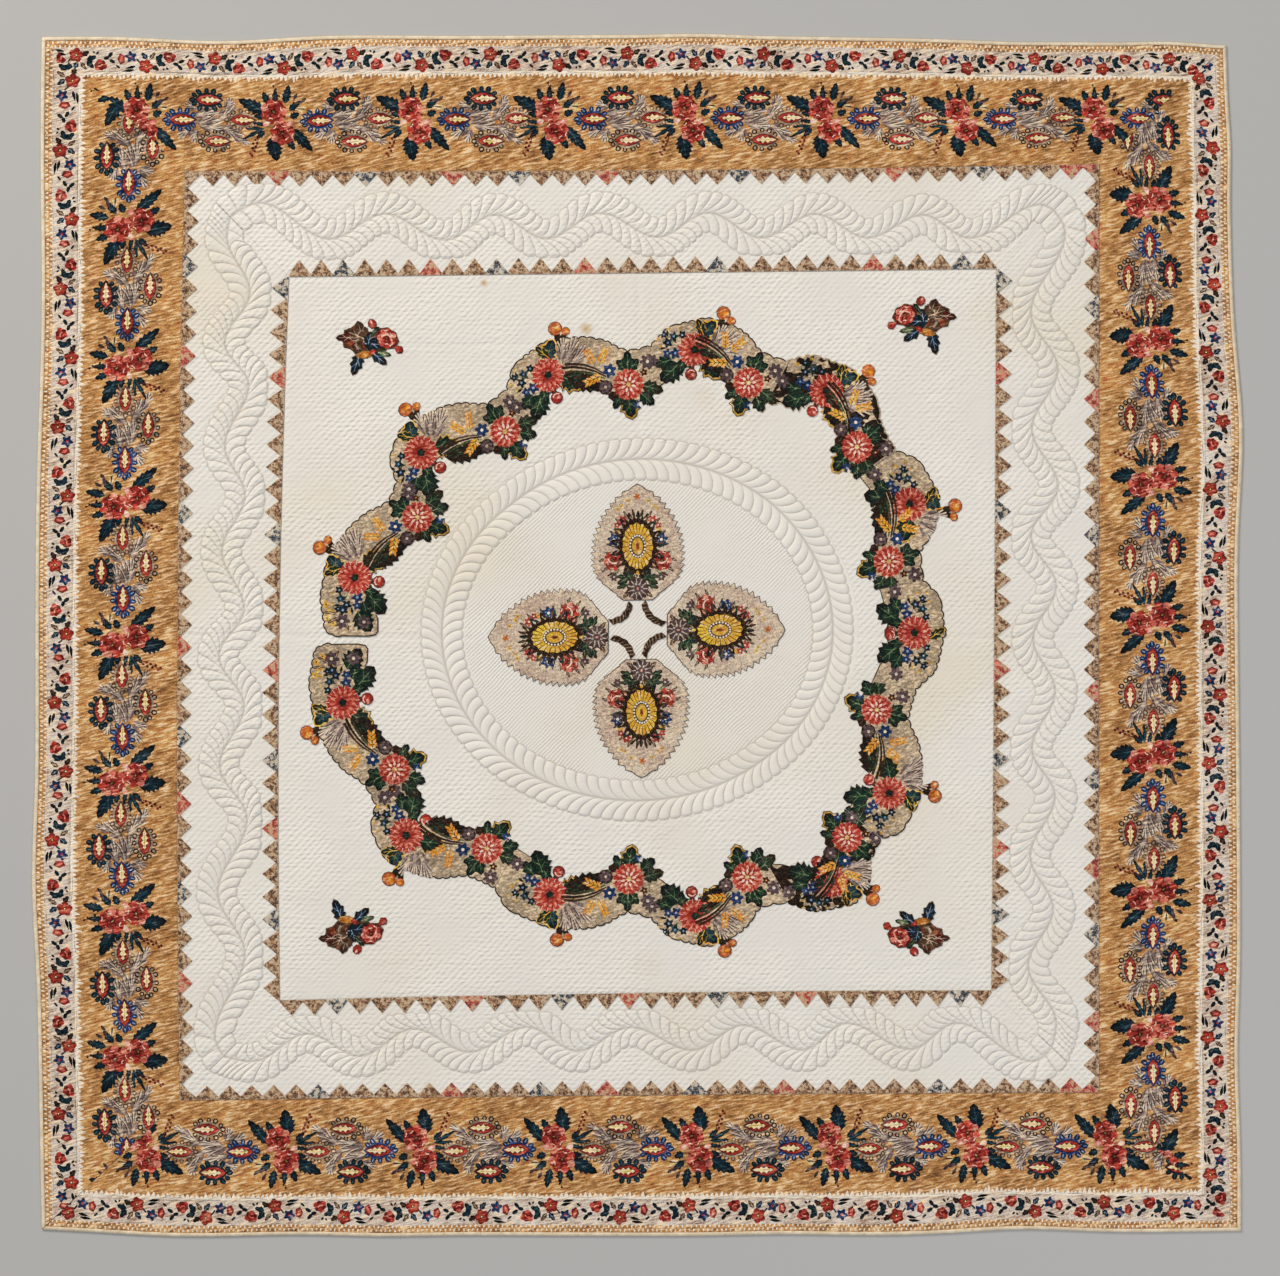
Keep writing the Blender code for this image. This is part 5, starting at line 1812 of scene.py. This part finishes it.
def sprig_motifs():
    """Groups of patches, in mm. The first patch of each group but the last two is part of the sprig's rim."""
    groups = [
        [patch(leaf_outline(86, 40, 4) + (-34, -6), "brown", "umber")],
        [patch(scalloped(36, 9, 0.14) * (1.1, 0.86) + (-22, 20), "rust", "umber", (-22, 20), 40)],
    ]
    for x0, y0, x1, y1, width, teeth, inks in SPRIG_LEAVES:
        groups.append(leaf_between((x0, y0), (x1, y1), width, teeth, *inks.split()))
    bud = [patch(oval(24, 21, 8), "coral", "brick"), patch(petal(11, 7, 2), "blush", "pink")]
    low_bud = [patch(oval(44, 18, 8), "orange", "brown", (0, 0), 26),
               patch(petal(22, 9, 2), "gold", "orange")]
    swirls = [patch(stroke(arc((-16, -8), (14, 10), 8, 5), 5, 3), "blush", "pink"),
              patch(stroke(arc((-12, 10), (20, -4), 5, 5), 4, 3), "blush", "pink"),
              patch(stroke(arc((-18, 0), (4, -15), -5, 5), 4, 2.5), "pink", "coral")]
    rings = [patch(stroke(arc((-12, -6), (10, 8), 6, 4), 3.4, 2), "sand", "taupe"),
             patch(stroke(arc((-8, 8), (14, -2), 5, 4), 3.0, 2), "taupe", "brown")]
    return groups + [
        placed(bud, (17, 56), 120),
        placed(low_bud, (-4, -20), 8),
        spot((16, -14), 30, oval(22, 12, 6), "coral", "brick"),
        spot((74, 0), -35, petal(24, 20), "coral", "brick", (4, 0), 20),
        spot((54, 20), -32, scalloped(28, 8, 0.1) * (1.12, 0.86), "brick", "wine"),
        placed(bloom(25), (54, 20), -32),
        placed(swirls, (54, 20), -32),
        placed(rings, (-12, 30), 20) + placed(rings, (-30, 22), 140) + placed(rings, (-18, 6), 60),
    ]


print("a sprig has", sum(len(group) for group in sprig_motifs()), "patches")

# %% Cut out the sprigs
def grown(outline, share):
    """An outline made larger about its own middle."""
    middle = outline.mean(axis=0)
    return middle + (outline - middle) * share


for name, middle, degrees, over in SPRIGS:
    groups = [placed(group, middle, degrees, 0.001, over) for group in sprig_motifs()]
    outline = joined_outline([grown(group[0][0], 1.10) for group in groups[:-2]])
    make_cut_out(name, outline, [item for group in groups for item in group], "brown", GARLAND_CHINTZ,
                 rim=0.0012, spacing=0.007)

# %% [markdown]
# ## The garland
# Thirteen cuttings of one chintz garland are joined end to end, six along the top, six along the bottom and
# a link at the right, with a gap at the left. Each cutting has an open flower with a dark heart, a rosette
# with a pale one, large dark leaves on the inner side and a pale scalloped ground on the outer side.

# %% The garland's line
GARLAND_MIDDLE = np.array([-0.0075, -0.010])
GARLAND_ENDS = 179.3  # degrees, where the upper and lower chains begin
UPPER_CHAIN = (  # open flower's angle and radius, rosette's angle and radius, from the gap at the left
    (167.6, 0.720, 151.0, 0.630),
    (139.5, 0.720, 123.0, 0.618),
    (109.0, 0.695, 92.0, 0.632),
    (78.5, 0.730, 66.0, 0.692),
    (52.0, 0.775, 40.5, 0.728),
    (26.0, 0.765, 17.0, 0.665),
)
LOWER_CHAIN = (
    (-168.0, 0.745, -152.0, 0.680),
    (-140.0, 0.748, -126.0, 0.638),
    (-109.0, 0.672, -92.0, 0.600),
    (-78.0, 0.710, -65.0, 0.660),
    (-51.0, 0.785, -43.0, 0.732),
    (-31.0, 0.748, -16.0, 0.632),
)
LINK_FLOWER = (1.5, 0.702)
CHAIN_JOINT = 0.35
# the pale ground of one cutting: station, reach outwards and reach inwards from the line, in mm.
# Station 0 is its start, 1 the open flower, 2 the rosette, 3 its end.
GROUND_EDGE = (
    (0.00, 60, 52), (0.35, 85, 56), (0.60, 82, 44), (0.90, 76, 40), (1.07, 84, 34), (1.20, 90, 26),
    (1.36, 94, 16), (1.55, 99, 10), (1.75, 96, 24), (1.90, 84, 40), (2.00, 82, 44), (2.50, 68, 56), (3.00, 60, 52),
)
# the same where the garland ends at the gap: its corners are rounded off
GAP_END = ((0.00, 32, 34), (0.03, 58, 52), (0.10, 72, 60), (0.35, 76, 62))


def garland_point(angle, radius):
    turn = np.radians(angle)
    return GARLAND_MIDDLE + np.stack([radius * np.cos(turn), radius * np.sin(turn)], axis=-1)


def scalloped_line(points, pitch=0.024, depth=0.0045):
    """A line of shallow scallops through points, bulging to the left."""
    made = []
    for start, end in zip(points, points[1:]):
        run = end - start
        count = max(1, round(float(np.hypot(*run)) / pitch))
        left = np.array([-run[1], run[0]]) / max(np.hypot(*run), 1e-9)
        for step in range(count):
            for share, rise in ((0.0, 0.0), (0.22, 0.8), (0.5, 1.0), (0.78, 0.8)):
                made.append(start + run * (step + share) / count + left * rise * depth)
    return np.array([*made, points[-1]])


def ground_band(stations, rows, way):
    """The outline of the pale ground, scalloped on its outer side."""
    station, outwards, inwards = np.array(rows).T
    whole = np.minimum(station.astype(int), len(stations) - 2)
    mix = (station - whole)[:, None]
    line = np.array(stations)[whole] * (1 - mix) + np.array(stations)[whole + 1] * mix
    outer = garland_point(line[:, 0], line[:, 1] + outwards / 1000)
    inner = garland_point(line[:, 0], line[:, 1] - inwards / 1000)
    outer = scalloped_line(outer, depth=0.0045 * way)
    return np.vstack([outer, inner[::-1]])


print(len(UPPER_CHAIN) + 1 + len(LOWER_CHAIN), "cuttings")

# %% Flowers of the garland
GREEN = ("green", "night", "moss")
OPEN_RINGS = (
    (15, 0.62, 0.40, "brick", "coral"), (13, 0.40, 0.36, "coral", "pink"), (10, 0.20, 0.30, "brick", "coral"),
)
ROSETTE_RINGS = (
    (13, 0.62, 0.40, "brick", "coral"), (11, 0.40, 0.36, "coral", "pink"), (8, 0.16, 0.34, "pink", "white"),
)


def fringe(radius, count, ink):
    """Short pale strokes at the tips of petals."""
    return ringed([patch(stroke([(-4, 0), (5, 0)], 1.8, 1.0), ink)], count, radius, 7)


def rimmed_leaf(base, tip, width, rim_ink, *inks):
    length, turn = span(base, tip)
    rim = spot(base, turn, leaf_outline(length * 1.08, width * 1.16, 3), rim_ink)
    return rim + leaf_between(base, tip, width, 3, *inks)


def bud(at, length, width, count, petal_length, petal_width, petal_points):
    """An orange bud with a yellow petal."""
    return placed([patch(oval(length, width, count), "orange", "rust"),
                   patch(petal(petal_length, petal_width, petal_points), "yellow", "orange")], at)


def open_flower_motifs():
    """Groups round an open flower: those that add to the outline, and those inside it, x along the chain."""
    rim = [
        rimmed_leaf((30, -14), (74, -56), 52, "gold", *GREEN),
        leaf_between((-30, -40), (-70, -92), 56, 4, *GREEN),
        leaf_between((-52, -34), (-92, -58), 34, 3, *GREEN),
        leaf_between((-24, -26), (-26, -66), 28, 2, *GREEN),
        [patch(stroke([(0, -34), (2, -66)], 13, 9), "wine", "green")],
        placed([patch(oval(29, 29, 10), "coral", "brick"), patch(petal(13, 10, 2), "blush", "coral"),
                patch(stroke(arc((-9, 4), (9, 7), 5, 4), 3, 2), "blush")], (3, -61)),
        [patch(stroke([(50, 60), (56, 96)], 20, 12), "green", "umber")],
        [patch(stroke([(54, 66), (76, 84)], 16, 10), "umber")],
        bud((54, 102), 34, 33, 10, 14, 12, 3),
        bud((77, 87), 22, 20, 8, 9, 6, 2),
    ]
    inner = [
        rimmed_leaf((6, 34), (40, 78), 40, "yellow", "teal", "night", "moss"),
        rimmed_leaf((16, 38), (-8, 76), 24, "gold", "green", "night", "yellow"),
    ]
    for base, tip, width in (((44, 8), (96, 62), 40), ((48, 0), (118, 30), 34), ((40, 20), (66, 72), 26)):
        inner.append(between(base, tip, plume, width, 5))
    for at, size, near, far in (
        ((-70, 4), 13, "navy", "night"), ((-46, -18), 15, "blue", "night"), ((-58, 22), 12, "teal", "navy"),
        ((-84, 22), 10, "navy", "night"), ((-38, 30), 11, "navy", "night"), ((-66, -22), 12, "blue", "navy"),
    ):
        inner.append(placed(floret(size, near, far, "sky"), at, size * 30))
    for at, size in (((-98, 8), 12), ((-86, -8), 9), ((-76, 40), 10), ((-98, 34), 10), ((-50, 46), 8)):
        inner.append(spot(at, size * 20, oval(size, size * 0.8, 5), "yellow", "gold"))
    for at, turn in (((-60, 8), 60), ((-48, 6), 130), ((-74, 16), 100), ((-36, 12), 80), ((-90, -16), 20)):
        inner.append(spot(at, turn, petal(18, 8, 2), "green", "night"))
    heart = rosette(43, OPEN_RINGS, ("green", "night"), 0.26)
    heart += fringe(26, 13, "pink") + fringe(37, 15, "blush")
    return rim, [*inner, placed(floret(18, "mauve", "umber", "dove", 7), (-102, -48)), heart]


print("an open flower has", sum(len(group) for group in open_flower_motifs()[1]), "patches")

# %% Rosettes and the end at the gap
def rosette_motifs():
    """Groups round a rosette, as for an open flower."""
    rim = [
        rimmed_leaf((-2, -30), (6, -82), 44, "gold", *GREEN),
        leaf_between((-18, -22), (-38, -58), 28, 3, *GREEN),
        leaf_between((30, -22), (62, -52), 36, 3, *GREEN),
        leaf_between((34, -4), (86, -20), 38, 3, "green", "umber", "moss"),
        leaf_between((-158, 30), (-62, -8), 46, 5, "umber", "night", "green"),
        [patch(oval(38, 36, 9) + (-58, -4), "umber")],
        spot((-40, -26), 0, oval(24, 22, 7), "umber"),
    ]
    inner = [
        leaf_between((0, 30), (0, 84), 34, 3, *GREEN),
        leaf_between((-4, 34), (-28, 62), 26, 2, *GREEN),
        leaf_between((4, 34), (28, 62), 26, 2, *GREEN),
        leaf_between((-150, 26), (-104, 22), 22, 2, *GREEN),
        leaf_between((-112, 34), (-66, 22), 16, 2, "umber", "night", "moss"),
    ]
    for start, end, bulge, ink in (((-168, 48), (-56, 22), 10, "umber"), ((-160, 36), (-58, 16), 9, "moss"),
                                   ((-160, 56), (-62, 30), 10, "brown"), ((-150, 22), (-62, 10), 8, "umber")):
        inner.append([patch(stroke(arc(start, end, bulge, 5), 7, 3.5), ink, "umber")])
    inner.append([patch(stroke(arc((-164, 42), (-58, 19), 10, 5), 2.0, 1.2), "sand")])
    for base, tip in (((-84, 50), (-106, 92)), ((-74, 50), (-52, 94)), ((-64, 26), (-112, 6))):
        inner.append(between(base, tip, wheat))
    for at, turn, kind in (
        ((-58, -4), 20, (17, "mauve", "umber", "sand", 7)), ((-47, 36), 0, (18, "blue", "navy", "white", 6)),
        ((22, -52), 0, (12, "blue", "navy", "sky", 5)), ((50, 54), 10, (19, "mauve", "umber", "dove", 7)),
        ((40, 28), 10, (10, "wine", "umber", "gold", 5)),
    ):
        inner.append(placed(floret(*kind), at, turn))
    heart = rosette(39, ROSETTE_RINGS, ("cream", "gold"), 0.18)
    heart += fringe(23, 11, "blush") + fringe(33, 13, "pink")
    return rim, [*inner, heart]


def gap_end_motifs():
    """What fills the rounded end of the garland at the gap, from the first open flower."""
    inner = [placed(floret(20, "mauve", "umber", "dove", 7), (-112, 6), 10)]
    for at, size in (((-96, 40), 11), ((-112, 44), 9), ((-80, 54), 10), ((-122, 26), 9)):
        inner.append(placed(floret(size, "yellow", "gold", "brown"), at, size * 20))
    inner.append(placed(floret(14, "navy", "night", "sky"), (-84, 10), 20))
    for base, tip in (((-104, 16), (-124, 40)), ((-96, 20), (-100, 58)), ((-112, -4), (-130, -16))):
        inner.append(leaf_between(base, tip, 11, 1, "umber", "brown", "sand"))
    return [leaf_between((-80, -26), (-122, -70), 54, 4, *GREEN)], inner


print("a rosette has", sum(len(group) for group in rosette_motifs()[1]), "patches")

# %% Cut out a piece of the garland
def area_of(outline):
    following = np.roll(outline, -1, axis=0)
    return abs((outline[:, 0] * following[:, 1] - following[:, 0] * outline[:, 1]).sum()) / 2


def kept_between(outline, start, end):
    """An outline cut off at two angles, in degrees, round the garland's middle."""
    away = outline - GARLAND_MIDDLE
    middle = (start + end) / 2
    angle = (np.degrees(np.arctan2(away[:, 1], away[:, 0])) - middle + 180) % 360 - 180
    half = abs(end - start) / 2
    return garland_point(np.clip(angle, -half, half) + middle, np.hypot(*away.T))


def seam_cover(angle, radius):
    """A strip across the garland where two cuttings meet."""
    corners = ((-0.4, -0.050), (0.4, -0.050), (0.4, 0.058), (-0.4, 0.058))
    return np.array([garland_point(angle + turn, radius + reach) for turn, reach in corners])


def laid(groups, place, way):
    """Groups in mm laid at an angle and radius of the garland, in metres. way is -1 in the lower chain."""
    return [placed(group, garland_point(*place), place[0] - 90 * way, 0.001, way < 0) for group in groups]


def make_cutting(number, stations, rows, way, rims, inners):
    """One cutting. A rim group that is nearly cut away by a joint doesn't add to the outline."""
    start, end = stations[0][0], stations[-1][0]
    gap_ends = [stations[0]] if abs(start) == GARLAND_ENDS else []
    if gap_ends:
        rows = GAP_END + tuple(row for row in rows if row[0] > GAP_END[-1][0])
    shapes = [ground_band(stations, rows, way)]
    for group in rims:
        whole = grown(group[0][0], 1.08)
        cut = kept_between(whole, start, end)
        if area_of(cut) > 0.12 * area_of(whole) and np.hypot(*(cut - whole).T).max() < 0.09:
            shapes.append(cut)
    patches = [item for group in [*rims, *inners] for item in group]
    # no dark rim, neither printed line nor painted shadow, runs across the joins
    covers = [seam_cover(*joint) for joint in (stations[0], stations[-1]) if joint not in gap_ends]
    make_cut_out(f"garland_{number:02d}", joined_outline(shapes), patches, "putty", GARLAND_CHINTZ,
                 rim=0.0031, spacing=0.0105, covers=covers)


print("a seam's cover is", round(1000 * math.dist(*seam_cover(0, 0.7)[:2]), 1), "mm wide")

# %% Cut out the garland
def make_chain(chain, way, numbers):
    """The cuttings of one chain, from the gap to the link. Returns where the link begins."""
    rims, inners = [], []
    anchors = [(row[:2], open_flower_motifs) for row in chain] + [(row[2:], rosette_motifs) for row in chain]
    for place, motifs in [*anchors, (LINK_FLOWER, open_flower_motifs), (chain[0][:2], gap_end_motifs)]:
        rim, inner = motifs()
        rims += laid(rim, place, way)
        inners += laid(inner, place, way)
    trim = way * math.degrees(SEAM / 0.7)
    start = (way * GARLAND_ENDS, chain[0][1] - 0.02)
    for number, flower, following in zip(numbers, chain, [*chain[1:], LINK_FLOWER]):
        angle, radius = (a + (b - a) * CHAIN_JOINT for a, b in zip(flower[2:4], following[:2]))
        stations = (start, flower[:2], flower[2:4], (angle + trim, radius))
        make_cutting(number, stations, GROUND_EDGE, way, rims, inners)
        start = (angle - trim, radius)
    return start


upper_start = make_chain(UPPER_CHAIN, 1, range(1, 7))
lower_start = make_chain(LOWER_CHAIN, -1, range(13, 7, -1))

# the link has one open flower, with what comes before it on both of its sides, and one heart
LINK_SIDES = ((-1, (1, 2, 3, 5), range(5, 22)), (1, (1, 2, 3, 4, 5), (1, *range(5, 23))))  # way, groups kept
before = tuple(row for row in GROUND_EDGE if row[0] < 1.0)
after = tuple((2 - station, outwards, inwards) for station, outwards, inwards in before[::-1])
link_rims, link_inners = [], []
open_rim, open_inner = open_flower_motifs()
for way, rim_kept, inner_kept in LINK_SIDES:
    link_rims += laid([open_rim[number] for number in rim_kept], LINK_FLOWER, way)
    link_inners += laid([open_inner[number] for number in inner_kept], LINK_FLOWER, way)
link_stations = (upper_start, LINK_FLOWER, lower_start)
make_cutting(7, link_stations, (*before, (1.0, 80, 40), *after), 1, link_rims, link_inners)
